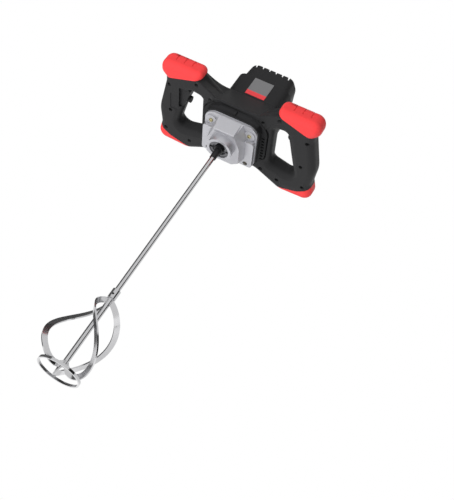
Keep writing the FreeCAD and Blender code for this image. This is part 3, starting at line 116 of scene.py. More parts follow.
class Slot(Enum):
    """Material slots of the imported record."""

    BLACK_PLASTIC = "black_plastic"
    RED_RUBBER = "red_rubber"
    GREY_LABEL = "grey_label"
    CAST_ALUMINIUM = "cast_aluminium"
    BRIGHT_STEEL = "bright_steel"
    BLACK_STEEL = "black_steel"
    ZINC_SCREWS = "zinc_screws"
    MACHINED_STEEL = "machined_steel"
    COPPER = "copper"
    CARBON = "carbon"


class Socket(Enum):
    """Kinds of socket on the node groups."""

    FLOAT = "NodeSocketFloat"
    WHOLE = "NodeSocketInt"
    VECTOR = "NodeSocketVector"
    GEOMETRY = "NodeSocketGeometry"
    MATERIAL = "NodeSocketMaterial"


@dataclass
class Wiring:
    """Short way to add and join the nodes of one tree."""

    tree: bpy.types.NodeTree

    def feed(self, target: bpy.types.NodeSocket, value: object) -> None:
        """Join an output to an input, or set the input's own value.

        Args:
            target: the input.
            value: an output socket or a plain value.
        """
        if isinstance(value, bpy.types.NodeSocket):
            self.tree.links.new(value, target)
        else:
            target.default_value = value

    def add(self, kind: str, inputs: dict[str | int, object] | None = None,
            **settings: object) -> bpy.types.Node:
        """Add a node, set its properties and feed its inputs.

        Args:
            kind: the node's type name.
            inputs: output sockets or plain values, by the input's name or number.
            settings: properties of the node and their values.

        Returns:
            The new node.
        """
        node = self.tree.nodes.new(kind)
        for name, value in settings.items():
            setattr(node, name, value)
        for name, value in (inputs or {}).items():
            self.feed(node.inputs[name], value)
        return node

    def math(self, operation: str, first: object, second: object) -> bpy.types.NodeSocket:
        """Add a Math node.

        Args:
            operation: what the node works out.
            first: a socket or a number.
            second: a socket or a number.

        Returns:
            The node's output.
        """
        return self.add("ShaderNodeMath", {0: first, 1: second}, operation=operation).outputs[0]

    def mix(self, share: bpy.types.NodeSocket, first: object, second: Colour) -> bpy.types.NodeSocket:
        """Add a colour Mix node.

        Args:
            share: share of the second colour.
            first: a socket or a colour with alpha.
            second: a colour.

        Returns:
            The mixed colour's output.
        """
        node = self.add("ShaderNodeMix", {"Factor": share, "A": first, "B": (*second, 1.0)},
                        data_type="RGBA", blend_type="MIX")
        return node.outputs["Result"]


def placed(name: str, data: bpy.types.ID) -> bpy.types.Object:
    """Make an object at the origin and put it in the scene.

    Args:
        name: the object's name.
        data: its mesh, camera or light.

    Returns:
        The new object.
    """
    made = bpy.data.objects.new(name, data)
    bpy.context.scene.collection.objects.link(made)
    return made


class Effects:
    """Shader node groups that several finishes share."""

    GRAIN_DETAIL = 3.0
    PATCH_DETAIL = 4.0
    SCUFF_TURNS = (0.4, 1.9)
    SCUFF_TILT = 0.6
    SCUFF_STRETCH = (1.0, 9.0, 9.0)
    SCUFF_DETAIL = 5.0
    SCUFF_ROUGHNESS = 0.7
    SCUFF_RAMP = (0.62, 0.78)
    LINE_DETAIL = 4.0

    def __init__(self) -> None:
        """Build the groups."""
        self.grain = self.build_grain()
        self.scuffs = self.build_scuffs()
        self.brushing = self.build_brushing()

    @staticmethod
    def start(name: str, values: dict[str, object], outputs: tuple[str, ...]) -> Wiring:
        """Start a shader node group that reads coordinates.

        Args:
            name: the group's name.
            values: its other inputs, numbers or vectors, and their usual values.
            outputs: names of its outputs, each a plain value.

        Returns:
            The wiring of the new group.
        """
        tree = bpy.data.node_groups.new(name, "ShaderNodeTree")
        tree.interface.new_socket("Vector", in_out="INPUT", socket_type=Socket.VECTOR.value)
        for key, value in values.items():
            kind = Socket.VECTOR if isinstance(value, tuple) else Socket.FLOAT
            socket = tree.interface.new_socket(key, in_out="INPUT", socket_type=kind.value)
            socket.default_value = value
        for key in outputs:
            tree.interface.new_socket(key, in_out="OUTPUT", socket_type=Socket.FLOAT.value)
        return Wiring(tree)

    def build_grain(self) -> bpy.types.NodeTree:
        """Fine uneven skin of a moulded or blasted surface.

        Returns:
            A group that puts out a bump height and a mask of slow variation.
        """
        wiring = self.start("SurfaceGrain", {"Grain Scale": 900.0, "Patch Scale": 30.0},
                            ("Height", "Patches"))
        given = wiring.add("NodeGroupInput").outputs
        fine = wiring.add("ShaderNodeTexNoise", {
            "Vector": given["Vector"], "Scale": given["Grain Scale"], "Detail": self.GRAIN_DETAIL})
        slow = wiring.add("ShaderNodeTexNoise", {
            "Vector": given["Vector"], "Scale": given["Patch Scale"], "Detail": self.PATCH_DETAIL})
        wiring.add("NodeGroupOutput", {"Height": fine.outputs["Fac"], "Patches": slow.outputs["Fac"]})
        return wiring.tree

    def build_scuffs(self) -> bpy.types.NodeTree:
        """Thin handling marks in two directions.

        Returns:
            A group that puts out a mask of scuffs.
        """
        wiring = self.start("HandlingScuffs", {"Scale": 60.0, "Share": 0.3}, ("Mask",))
        given = wiring.add("NodeGroupInput").outputs
        low, high = self.SCUFF_RAMP
        masks = []
        for turn in self.SCUFF_TURNS:
            mapping = wiring.add("ShaderNodeMapping", {
                "Vector": given["Vector"], "Rotation": (turn, turn * self.SCUFF_TILT, turn),
                "Scale": self.SCUFF_STRETCH})
            noise = wiring.add("ShaderNodeTexNoise", {
                "Vector": mapping.outputs["Vector"], "Scale": given["Scale"], "Detail": self.SCUFF_DETAIL,
                "Roughness": self.SCUFF_ROUGHNESS})
            ramp = wiring.add("ShaderNodeMapRange", {
                "Value": noise.outputs["Fac"], "From Min": low, "From Max": high})
            masks.append(ramp.outputs["Result"])
        both = wiring.math("MAXIMUM", *masks)
        wiring.add("NodeGroupOutput", {"Mask": wiring.math("MULTIPLY", both, given["Share"])})
        return wiring.tree

    def build_brushing(self) -> bpy.types.NodeTree:
        """Drawn or ground lines that run along one axis of the piece.

        Returns:
            A group that puts out a bump height and a mask of the lines.
        """
        wiring = self.start("BrushedLines", {"Stretch": (900.0, 900.0, 12.0)}, ("Height", "Lines"))
        given = wiring.add("NodeGroupInput").outputs
        scaled = wiring.add("ShaderNodeVectorMath", {0: given["Vector"], 1: given["Stretch"]},
                            operation="MULTIPLY")
        noise = wiring.add("ShaderNodeTexNoise", {
            "Vector": scaled.outputs["Vector"], "Scale": 1.0, "Detail": self.LINE_DETAIL})
        wiring.add("NodeGroupOutput", {"Height": noise.outputs["Fac"], "Lines": noise.outputs["Fac"]})
        return wiring.tree


@dataclass(frozen=True)
class Finish:
    """One surface finish: its colours, gloss and fine relief."""

    name: str
    slot: Slot
    colour: Colour
    worn: Colour
    roughness: float
    spread: float
    metallic: float = 0.0
    specular: float = 0.5
    grain_scale: float = 900.0
    grain_depth: float = 0.00008
    patch_scale: float = 30.0
    patch_shade: float = 0.12
    scuff_scale: float = 60.0
    scuff_share: float = 0.25

    def skin(self, wiring: Wiring, place: bpy.types.NodeSocket,
             effects: Effects) -> tuple[bpy.types.NodeSocket, bpy.types.NodeSocket]:
        """Fine relief of the surface and its slow variation.

        Args:
            wiring: the material's wiring.
            place: object coordinates.
            effects: the shared node groups.

        Returns:
            The bump height and the mask of slow variation.
        """
        grain = wiring.add("ShaderNodeGroup", {
            "Vector": place, "Grain Scale": self.grain_scale, "Patch Scale": self.patch_scale},
            node_tree=effects.grain)
        return grain.outputs["Height"], grain.outputs["Patches"]

    def base(self, wiring: Wiring, place: bpy.types.NodeSocket, patches: bpy.types.NodeSocket,
             scuffs: bpy.types.NodeSocket) -> bpy.types.NodeSocket:
        """Colour over the surface: the main colour, slow shading and worn marks.

        Args:
            wiring: the material's wiring.
            place: object coordinates, for a finish whose colour has a place.
            patches: slow variation from 0 to 1.
            scuffs: worn marks from 0 to 1.

        Returns:
            The colour output.
        """
        dark = tuple(channel * (1.0 - self.patch_shade) for channel in self.colour)
        shaded = wiring.mix(patches, (*dark, 1.0), self.colour)
        return wiring.mix(scuffs, shaded, self.worn)

    def build(self, effects: Effects) -> bpy.types.Material:
        """Make the material.

        Args:
            effects: the shared node groups.

        Returns:
            The finished material.
        """
        material = bpy.data.materials.new(self.name)
        material.use_nodes = True
        material.diffuse_color = (*self.colour, 1.0)
        material.node_tree.nodes.clear()
        wiring = Wiring(material.node_tree)
        place = wiring.add("ShaderNodeTexCoord").outputs["Object"]
        height, patches = self.skin(wiring, place, effects)
        scuffs = wiring.add("ShaderNodeGroup", {
            "Vector": place, "Scale": self.scuff_scale, "Share": self.scuff_share}, node_tree=effects.scuffs)
        rough = wiring.add("ShaderNodeMapRange", {
            "Value": patches, "To Min": self.roughness - self.spread, "To Max": self.roughness + self.spread})
        bump = wiring.add("ShaderNodeBump", {"Height": height, "Strength": 1.0, "Distance": self.grain_depth})
        shader = wiring.add("ShaderNodeBsdfPrincipled", {
            "Base Color": self.base(wiring, place, patches, scuffs.outputs["Mask"]),
            "Metallic": self.metallic, "Specular IOR Level": self.specular,
            "Roughness": rough.outputs["Result"], "Normal": bump.outputs["Normal"]})
        wiring.add("ShaderNodeOutputMaterial", {"Surface": shader.outputs["BSDF"]})
        return material


@dataclass(frozen=True)
class BrushedFinish(Finish):
    """Metal with drawn lines along one axis."""

    stretch: Point = (900.0, 900.0, 12.0)

    def skin(self, wiring: Wiring, place: bpy.types.NodeSocket,
             effects: Effects) -> tuple[bpy.types.NodeSocket, bpy.types.NodeSocket]:
        """Relief and mask of the drawn lines.

        Args:
            wiring: the material's wiring.
            place: object coordinates.
            effects: the shared node groups.

        Returns:
            The bump height and the mask of the lines.
        """
        lines = wiring.add("ShaderNodeGroup", {"Vector": place, "Stretch": self.stretch},
                           node_tree=effects.brushing)
        return lines.outputs["Height"], lines.outputs["Lines"]


@dataclass(frozen=True)
class PlateFinish(Finish):
    """Grey plate with a coloured band along its lower edge."""

    band: Colour = (0.8, 0.05, 0.06)
    band_top: float = 0.0745

    def base(self, wiring: Wiring, place: bpy.types.NodeSocket, patches: bpy.types.NodeSocket,
             scuffs: bpy.types.NodeSocket) -> bpy.types.NodeSocket:
        """Plate colour above the band's top edge and band colour below it.

        Args:
            wiring: the material's wiring.
            place: object coordinates.
            patches: slow variation from 0 to 1.
            scuffs: worn marks from 0 to 1.

        Returns:
            The colour output.
        """
        grey = super().base(wiring, place, patches, scuffs)
        split = wiring.add("ShaderNodeSeparateXYZ", {"Vector": place})
        below = wiring.math("LESS_THAN", split.outputs["Z"], self.band_top)
        return wiring.mix(below, grey, self.band)


@dataclass(frozen=True)
class Palette:
    """All finishes of the drill. The first one of a slot is the slot's usual finish."""

    plastic: Finish = Finish(
        "BlackMouldedPlastic", Slot.BLACK_PLASTIC, (0.024, 0.024, 0.025), (0.046, 0.046, 0.047),
        roughness=0.50, spread=0.06, specular=0.10, grain_scale=1100.0, grain_depth=0.00006, scuff_share=0.18)
    # The collar's plastic is the black plastic made darker: painted shade of the recess round the gear case.
    collar: Finish = Finish(
        "CollarPlasticPaintedShade", Slot.BLACK_PLASTIC, (0.019, 0.019, 0.020), (0.034, 0.034, 0.035),
        roughness=0.56, spread=0.06, specular=0.10, grain_scale=1100.0, grain_depth=0.00006, scuff_share=0.15)
    rubber: Finish = Finish(
        "RedBumperRubber", Slot.RED_RUBBER, (0.86, 0.054, 0.056), (0.92, 0.14, 0.14),
        roughness=0.52, spread=0.05, specular=0.25, grain_scale=700.0, grain_depth=0.00006, patch_shade=0.08,
        scuff_share=0.15)
    plate: Finish = PlateFinish(
        "RatingPlateGrey", Slot.GREY_LABEL, (0.20, 0.20, 0.205), (0.32, 0.32, 0.32),
        roughness=0.4, spread=0.05, metallic=0.3, grain_depth=0.00002, scuff_share=0.2)
    casting: Finish = Finish(
        "BlastedCasting", Slot.CAST_ALUMINIUM, (0.50, 0.50, 0.53), (0.62, 0.62, 0.64),
        roughness=0.36, spread=0.06, metallic=0.55, specular=0.35, grain_scale=1400.0, grain_depth=0.00010,
        scuff_share=0.2)
    bright: Finish = BrushedFinish(
        "BrightPlatedSteel", Slot.BRIGHT_STEEL, (0.56, 0.56, 0.57), (0.42, 0.41, 0.40),
        roughness=0.11, spread=0.03, metallic=1.0, grain_depth=0.000001)
    blade: Finish = Finish(
        "PlatedBlades", Slot.BRIGHT_STEEL, (0.56, 0.56, 0.57), (0.42, 0.41, 0.40),
        roughness=0.14, spread=0.03, metallic=1.0, grain_scale=120.0, grain_depth=0.000002, scuff_share=0.2)
    retainer: Finish = BrushedFinish(
        "TurnedRetainer", Slot.BRIGHT_STEEL, (0.16, 0.16, 0.17), (0.30, 0.30, 0.30),
        roughness=0.30, spread=0.08, metallic=1.0, grain_depth=0.000004, stretch=(600.0, 600.0, 600.0))
    blackened: Finish = Finish(
        "BlackenedSteel", Slot.BLACK_STEEL, (0.012, 0.012, 0.013), (0.06, 0.06, 0.06),
        roughness=0.40, spread=0.08, specular=0.3, grain_depth=0.00003)
    zinc: Finish = Finish(
        "YellowZincScrews", Slot.ZINC_SCREWS, (0.62, 0.55, 0.30), (0.72, 0.66, 0.45),
        roughness=0.3, spread=0.08, metallic=1.0, grain_depth=0.00002)
    machined: Finish = BrushedFinish(
        "MachinedSteel", Slot.MACHINED_STEEL, (0.5, 0.5, 0.52), (0.62, 0.62, 0.63),
        roughness=0.3, spread=0.08, metallic=1.0, grain_depth=0.00001, stretch=(500.0, 500.0, 500.0))
    copper: Finish = BrushedFinish(
        "CopperWindings", Slot.COPPER, (0.70, 0.35, 0.18), (0.45, 0.2, 0.1),
        roughness=0.36, spread=0.08, metallic=1.0, grain_depth=0.0001, stretch=(60.0, 60.0, 1400.0))
    carbon: Finish = Finish(
        "PressedCarbon", Slot.CARBON, (0.03, 0.03, 0.03), (0.08, 0.08, 0.08), roughness=0.6, spread=0.06)


class Materials:
    """Materials made once from the palette and handed out by slot or finish."""

    def __init__(self, palette: Palette) -> None:
        """Build each finish.

        Args:
            palette: the finishes to build.
        """
        effects = Effects()
        self.by_finish: dict[str, bpy.types.Material] = {}
        self.by_slot: dict[Slot, bpy.types.Material] = {}
        for entry in fields(palette):
            finish: Finish = getattr(palette, entry.name)
            material = finish.build(effects)
            self.by_finish[finish.name] = material
            self.by_slot.setdefault(finish.slot, material)

    def pick(self, slot: Slot, finish: Finish | None = None) -> bpy.types.Material:
        """Material of a finish, or the usual one of a slot if no finish is given."""
        return self.by_finish[finish.name] if finish else self.by_slot[slot]


@dataclass
class Frame:
    """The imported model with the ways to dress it. Angles are in degrees."""

    loaded: dict
    materials: Materials
    sharp_angle: float = 32.0
    edge_segments: int = 2
    bodies: dict[str, Body] = field(init=False)
    slots: dict[str, Slot] = field(init=False)

    def __post_init__(self) -> None:
        """Read which body and which slot each node belongs to."""
        record = self.loaded["record"]
        groups = record["behaviour"]["bodies"]
        self.bodies = {node: Body(body) for body, nodes in groups.items() for node in nodes}
        self.slots = {part["node"]: Slot(part["material_slot"]) for part in record["subparts"]}

    def paint(self) -> None:
        """Give each CAD node the usual material of its slot."""
        for node, shape in self.loaded["nodes"].items():
            shape.data.materials.clear()
            shape.data.materials.append(self.materials.pick(self.slots[node]))

    def smooth_copy(self, node: str) -> bpy.types.Object:
        """Copy a CAD node with welded corners and soft shading across its shallow edges.

        Args:
            node: the CAD node's name.

        Returns:
            The new object, at the origin.
        """
        name = "dressed_" + node
        mesh = self.loaded["nodes"][node].data.copy()
        mesh.name = name
        work = bmesh.new()
        work.from_mesh(mesh)
        bmesh.ops.remove_doubles(work, verts=work.verts, dist=WELD_DISTANCE)
        bmesh.ops.dissolve_limit(work, angle_limit=FLAT_ANGLE, verts=work.verts, edges=work.edges)
        work.to_mesh(mesh)
        work.free()
        mesh.shade_smooth()
        mesh.set_sharp_from_angle(angle=math.radians(self.sharp_angle))
        return placed(name, mesh)

    def round_edges(self, piece: bpy.types.Object, width: float) -> None:
        """Round the sharp edges of a piece.

        Args:
            piece: the piece.
            width: width of the rounding.
        """
        rounding = piece.modifiers.new("RoundedEdges", "BEVEL")
        rounding.width = width
        rounding.segments = self.edge_segments
        rounding.limit_method = "ANGLE"
        rounding.angle_limit = math.radians(self.sharp_angle)
        rounding.use_clamp_overlap = True

    def soften(self, node: str, slot: Slot | None = None, finish: Finish | None = None,
               edge: float = 0.0) -> None:
        """Show a CAD node through a copy with soft shading.

        Args:
            node: the CAD node's name.
            slot: slot of the copy, the node's own if none is given.
            finish: finish of the copy, the slot's usual one if none is given.
            edge: width of the rounding along sharp edges, none if zero.
        """
        slot = slot or self.slots[node]
        piece = self.smooth_copy(node)
        piece.data.materials.clear()
        piece.data.materials.append(self.materials.pick(slot, finish))
        if edge:
            self.round_edges(piece, edge)
        weighted = piece.modifiers.new("EvenNormals", "WEIGHTED_NORMAL")
        weighted.keep_sharp = True
        self.show(piece, self.bodies[node], slot, node)

    def show(self, piece: bpy.types.Object, body: Body, slot: Slot, node: str | None = None) -> None:
        """Let a piece ride on a body, and hide the CAD node that it stands for.

        Args:
            piece: the piece.
            body: the body that it moves with.
            slot: not used.
            node: the CAD node that it stands for, if any.
        """
        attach(piece, body.value)
        if node:
            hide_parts(node)
        log.info("%s rides on %s", piece.name, body.value)


class GeometryTree:
    """A Geometry Nodes tree with named inputs, run on loose points and turned into plain mesh."""

    def __init__(self, name: str, values: dict[str, float | int]) -> None:
        """Start a tree that reads points and a material.

        Args:
            name: the tree's name.
            values: its sizes and whole numbers, and their usual values.
        """
        self.tree = bpy.data.node_groups.new(name, "GeometryNodeTree")
        self.identifiers: dict[str, str] = {}
        self.tree.interface.new_socket("Geometry", in_out="OUTPUT", socket_type=Socket.GEOMETRY.value)
        self.read("Geometry", Socket.GEOMETRY)
        for key, value in values.items():
            kind = Socket.WHOLE if isinstance(value, int) else Socket.FLOAT
            self.read(key, kind).default_value = value
        self.read("Material", Socket.MATERIAL)
        self.wiring = Wiring(self.tree)
        self.given = self.wiring.add("NodeGroupInput").outputs

    def read(self, name: str, kind: Socket) -> bpy.types.NodeTreeInterfaceSocket:
        """Add a named input to the tree.

        Args:
            name: the input's name.
            kind: its kind of socket.

        Returns:
            The new socket.
        """
        socket = self.tree.interface.new_socket(name, in_out="INPUT", socket_type=kind.value)
        self.identifiers[name] = socket.identifier
        return socket

    def lifted(self, shape: bpy.types.Node, height: bpy.types.NodeSocket) -> bpy.types.NodeSocket:
        """Move a mesh up by a height.

        Args:
            shape: the node that makes the mesh.
            height: how far it moves.

        Returns:
            The moved mesh.
        """
        offset = self.wiring.add("ShaderNodeCombineXYZ", {"Z": height})
        move = self.wiring.add("GeometryNodeTransform", {
            "Geometry": shape.outputs["Mesh"], "Translation": offset.outputs["Vector"]})
        return move.outputs["Geometry"]

    def repeat(self, piece: bpy.types.NodeSocket, **placing: bpy.types.NodeSocket) -> None:
        """Set a piece on each point, make it real and coat it.

        Args:
            piece: the piece to repeat.
            placing: its Rotation or its Scale, if any.
        """
        copies = self.wiring.add("GeometryNodeInstanceOnPoints", {
            "Points": self.given["Geometry"], "Instance": piece, **placing})
        real = self.wiring.add("GeometryNodeRealizeInstances", {"Geometry": copies.outputs["Instances"]})
        coat = self.wiring.add("GeometryNodeSetMaterial", {
            "Geometry": real.outputs["Geometry"], "Material": self.given["Material"]})
        self.wiring.add("NodeGroupOutput", {"Geometry": coat.outputs["Geometry"]})

    def run(self, name: str, places: list[Point], values: dict[str, object]) -> bpy.types.Object:
        """Run the tree on loose points and keep the result as a plain mesh object.

        Args:
            name: name of the new piece.
            places: the points.
            values: the tree's inputs by name.

        Returns:
            The new object, at the origin.
        """
        points = bpy.data.meshes.new(name + "_points")
        points.from_pydata(places, [], [])
        carrier = placed(name + "_carrier", points)
        modifier = carrier.modifiers.new(self.tree.name, "NODES")
        modifier.node_group = self.tree
        for key, value in values.items():
            modifier[self.identifiers[key]] = value
        graph = bpy.context.evaluated_depsgraph_get()
        mesh = bpy.data.meshes.new_from_object(carrier.evaluated_get(graph))
        mesh.name = name
        carrier.modifiers.remove(modifier)
        bpy.data.objects.remove(carrier)
        return placed(name, mesh)


def cross_screw_tree() -> GeometryTree:
    """Pan-head screws with a cross recess, one on each point.

    Returns:
        The tree, with the sizes of head, recess and shank as inputs.
    """
    made = GeometryTree("CrossScrews", {
        "Head Radius": 0.0035, "Head Height": 0.0025, "Recess Width": 0.001, "Recess Depth": 0.0015,
        "Shank Radius": 0.0019, "Shank Length": 0.02, "Flip": 0.0})
    wiring = made.wiring
    given = made.given
    rim_height = wiring.math("MULTIPLY", given["Head Height"], RIM_SHARE)
    rim = wiring.add("GeometryNodeMeshCylinder", {
        "Vertices": HEAD_SIDES, "Radius": given["Head Radius"], "Depth": rim_height})
    crown = wiring.add("GeometryNodeMeshCone", {
        "Vertices": HEAD_SIDES, "Radius Top": wiring.math("MULTIPLY", given["Head Radius"], CROWN_TOP),
        "Radius Bottom": given["Head Radius"],
        "Depth": wiring.math("MULTIPLY", given["Head Height"], CROWN_SHARE)})
    shank = wiring.add("GeometryNodeMeshCylinder", {
        "Vertices": SHANK_SIDES, "Radius": given["Shank Radius"], "Depth": given["Shank Length"]})
    half_rim = wiring.math("MULTIPLY", given["Head Height"], RIM_SHARE / 2)
    half_shank = wiring.math("MULTIPLY", given["Shank Length"], -0.5)
    whole = wiring.add("GeometryNodeMeshBoolean", operation="UNION", solver="EXACT")
    for part, height in ((rim, half_rim), (crown, rim_height), (shank, half_shank)):
        wiring.feed(whole.inputs["Mesh"], made.lifted(part, height))
    cut = wiring.add("GeometryNodeMeshBoolean", {"Mesh 1": whole.outputs["Mesh"]},
                     operation="DIFFERENCE", solver="EXACT")
    span = wiring.math("MULTIPLY", given["Head Radius"], RECESS_SPAN)
    depth = wiring.math("MULTIPLY", given["Recess Depth"], 2.0)
    for across, along in ((span, given["Recess Width"]), (given["Recess Width"], span)):
        size = wiring.add("ShaderNodeCombineXYZ", {"X": across, "Y": along, "Z": depth})
        bar = wiring.add("GeometryNodeMeshCube", {"Size": size.outputs["Vector"]})
        wiring.feed(cut.inputs["Mesh 2"], made.lifted(bar, given["Head Height"]))
    turn = wiring.add("ShaderNodeCombineXYZ", {"X": given["Flip"], "Z": SCREW_TURN})
    made.repeat(cut.outputs["Mesh"], Rotation=turn.outputs["Vector"])
    return made


def rib_ring_tree() -> GeometryTree:
    """Grip ribs in a ring about each point.

    Returns:
        The tree, with the sizes of ring and ribs as inputs.
    """
    made = GeometryTree("RibRing", {
        "Ring Radius": 0.011, "Rib Radius": 0.0004, "Rib Length": 0.005, "Tilt": 0.0, "Ribs": 36})
    wiring = made.wiring
    given = made.given
    circle = wiring.add("GeometryNodeMeshCircle", {"Vertices": given["Ribs"], "Radius": given["Ring Radius"]})
    rib = wiring.add("GeometryNodeMeshCylinder", {
        "Vertices": RIB_SIDES, "Radius": given["Rib Radius"], "Depth": given["Rib Length"]})
    around = wiring.add("GeometryNodeInstanceOnPoints", {
        "Points": circle.outputs["Mesh"], "Instance": rib.outputs["Mesh"]})
    turn = wiring.add("ShaderNodeCombineXYZ", {"X": given["Tilt"]})
    made.repeat(around.outputs["Instances"], Rotation=turn.outputs["Vector"])
    return made


def weld_tree() -> GeometryTree:
    """Overlapping beads of a weld, one on each point, of slightly uneven size.

    Returns:
        The tree, with the size of the beads as inputs.
    """
    made = GeometryTree("WeldBeads", {"Bead Radius": 0.0016, "Unevenness": 0.2})
    wiring = made.wiring
    given = made.given
    bead = wiring.add("GeometryNodeMeshIcoSphere", {
        "Radius": given["Bead Radius"], "Subdivisions": BEAD_SUBDIVISIONS})
    smooth = wiring.add("GeometryNodeSetShadeSmooth", {"Geometry": bead.outputs["Mesh"]})
    size = wiring.add("FunctionNodeRandomValue", {
        "Min": wiring.math("SUBTRACT", 1.0, given["Unevenness"]),
        "Max": wiring.math("ADD", 1.0, given["Unevenness"]), "Seed": BEAD_SEED}, data_type="FLOAT")
    made.repeat(smooth.outputs["Geometry"], Scale=size.outputs["Value"])
    return made


@dataclass
class Housing:
    """Handle shells, bumpers, motor block, collar and gear case."""

    frame: Frame
    soft: tuple[str, ...] = (
        "lower_handle_shell", "upper_handle_shell", "motor_end_cap", "right_front_bumper",
        "left_front_bumper", "right_rear_foot", "left_rear_foot", "cable_gland", "brush_caps", "rating_plate")
    casting_edge: float = 0.0007

    def build(self) -> None:
        """Show the outer pieces with soft shading."""
        for node in self.soft:
            self.frame.soften(node)
        self.frame.soften("gear_case", edge=self.casting_edge)
        # The collar gets the darker plastic, which paints the shade of its recess.
        self.frame.soften("air_outlet_collar", finish=Palette.collar)
        self.frame.soften("bearing_retainer", finish=Palette.retainer)


@dataclass(frozen=True)
class Weld:
    """One line of beads on a round piece, with its end angles in degrees and its end heights."""

    radius: float
    angles: Pair
    heights: Pair

    def places(self, count: int, turn: float) -> list[Point]:
        """Places of the beads, evenly along the line.

        Args:
            count: how many beads.
            turn: turn of the whole line about the spindle axis, in degrees.

        Returns:
            The middle of each bead.
        """
        first_angle, last_angle = self.angles
        first_height, last_height = self.heights
        places = []
        for step in range(count):
            share = step / (count - 1)
            angle = math.radians(turn + first_angle + (last_angle - first_angle) * share)
            height = first_height + (last_height - first_height) * share
            places.append((self.radius * math.cos(angle), self.radius * math.sin(angle), height))
        return places


@dataclass
class Spindle:
    """Rod, adapter and ribbon paddle, with the welds beside each blade."""

    frame: Frame
    soft: tuple[str, ...] = ("rod_adapter", "mixing_rod", "rod_sleeve", "sleeve_set_screw")
    blades: tuple[str, ...] = ("ribbon_blade_1", "ribbon_blade_2", "ribbon_blade_3")
    beads: int = 6
    bead_radius: float = 0.0014
    welds: tuple[Weld, ...] = (
        Weld(0.0056, angles=(91.0, 96.0), heights=(-0.5040, -0.5160)),
        Weld(0.0056, angles=(123.0, 128.0), heights=(-0.5040, -0.5160)),
        Weld(0.0056, angles=(-82.0, -92.0), heights=(-0.6490, -0.6575)),
        Weld(0.0056, angles=(-114.0, -124.0), heights=(-0.6490, -0.6575)),
        Weld(0.0405, angles=(-122.0, -130.0), heights=(-0.6669, -0.6669)),
    )

    def build(self) -> None:
        """Show the rod and the paddle with soft shading, and add the welds."""
        for node in self.soft:
            self.frame.soften(node)
        for node in (*self.blades, "bottom_ring"):
            self.frame.soften(node, finish=Palette.blade)
        beads = weld_tree().run("paddle_welds", self.weld_places(), {
            "Bead Radius": self.bead_radius,
            "Material": self.frame.materials.pick(Slot.BRIGHT_STEEL, Palette.blade)})
        self.frame.show(beads, Body.SPINDLE, Slot.BRIGHT_STEEL)
        self.frame.soften("output_spindle", slot=Slot.BLACK_STEEL)

    def weld_places(self) -> list[Point]:
        """Places of the beads beside each blade: on the rod at both ends, and on the bottom ring.

        Returns:
            The places of all beads.
        """
        places = []
        for blade in range(len(self.blades)):
            turn = 360.0 * blade / len(self.blades)
            for weld in self.welds:
                places += weld.places(self.beads, turn)
        return places


@dataclass
class Controls:
    """Trigger, lock button, speed dial and the ribs of the cable gland."""

    frame: Frame
    soft: tuple[str, ...] = ("trigger", "lock_button", "speed_dial")
    dial_place: Point = (0.123, -0.016, 0.0)
    dial_radius: float = 0.011
    dial_rib: float = 0.0052
    gland_rings: Pair = (0.004, 0.009)
    gland_radius: float = 0.0062
    gland_rib: float = 0.0036
    gland_rib_radius: float = 0.0006
    gland_count: int = 12

    def build(self) -> None:
        """Show the controls with soft shading, and add the ribs of dial and gland."""
        for node in self.soft:
            self.frame.soften(node)
        tree = rib_ring_tree()
        plastic = self.frame.materials.pick(Slot.BLACK_PLASTIC)
        ribs = tree.run("dial_ribs", [self.dial_place], {
            "Ring Radius": self.dial_radius, "Rib Length": self.dial_rib, "Material": plastic})
        self.frame.show(ribs, Body.DIAL, Slot.BLACK_PLASTIC)
        low, high = (Vector(corner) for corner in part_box("cable_gland"))
        middle = (low + high) / 2
        rings = [(middle.x, high.y - back, middle.z) for back in self.gland_rings]
        ribs = tree.run("gland_ribs", rings, {
            "Ring Radius": self.gland_radius, "Rib Length": self.gland_rib, "Ribs": self.gland_count,
            "Rib Radius": self.gland_rib_radius, "Tilt": math.pi / 2, "Material": plastic})
        self.frame.show(ribs, Body.HOUSING, Slot.BLACK_PLASTIC)


@dataclass(frozen=True)
class Screw:
    """One kind of pan-head screw, named by the CAD node that its set stands for."""

    node: str
    slot: Slot
    head_radius: float
    head_height: float
    shank_radius: float
    shank_length: float
    points_up: bool = False


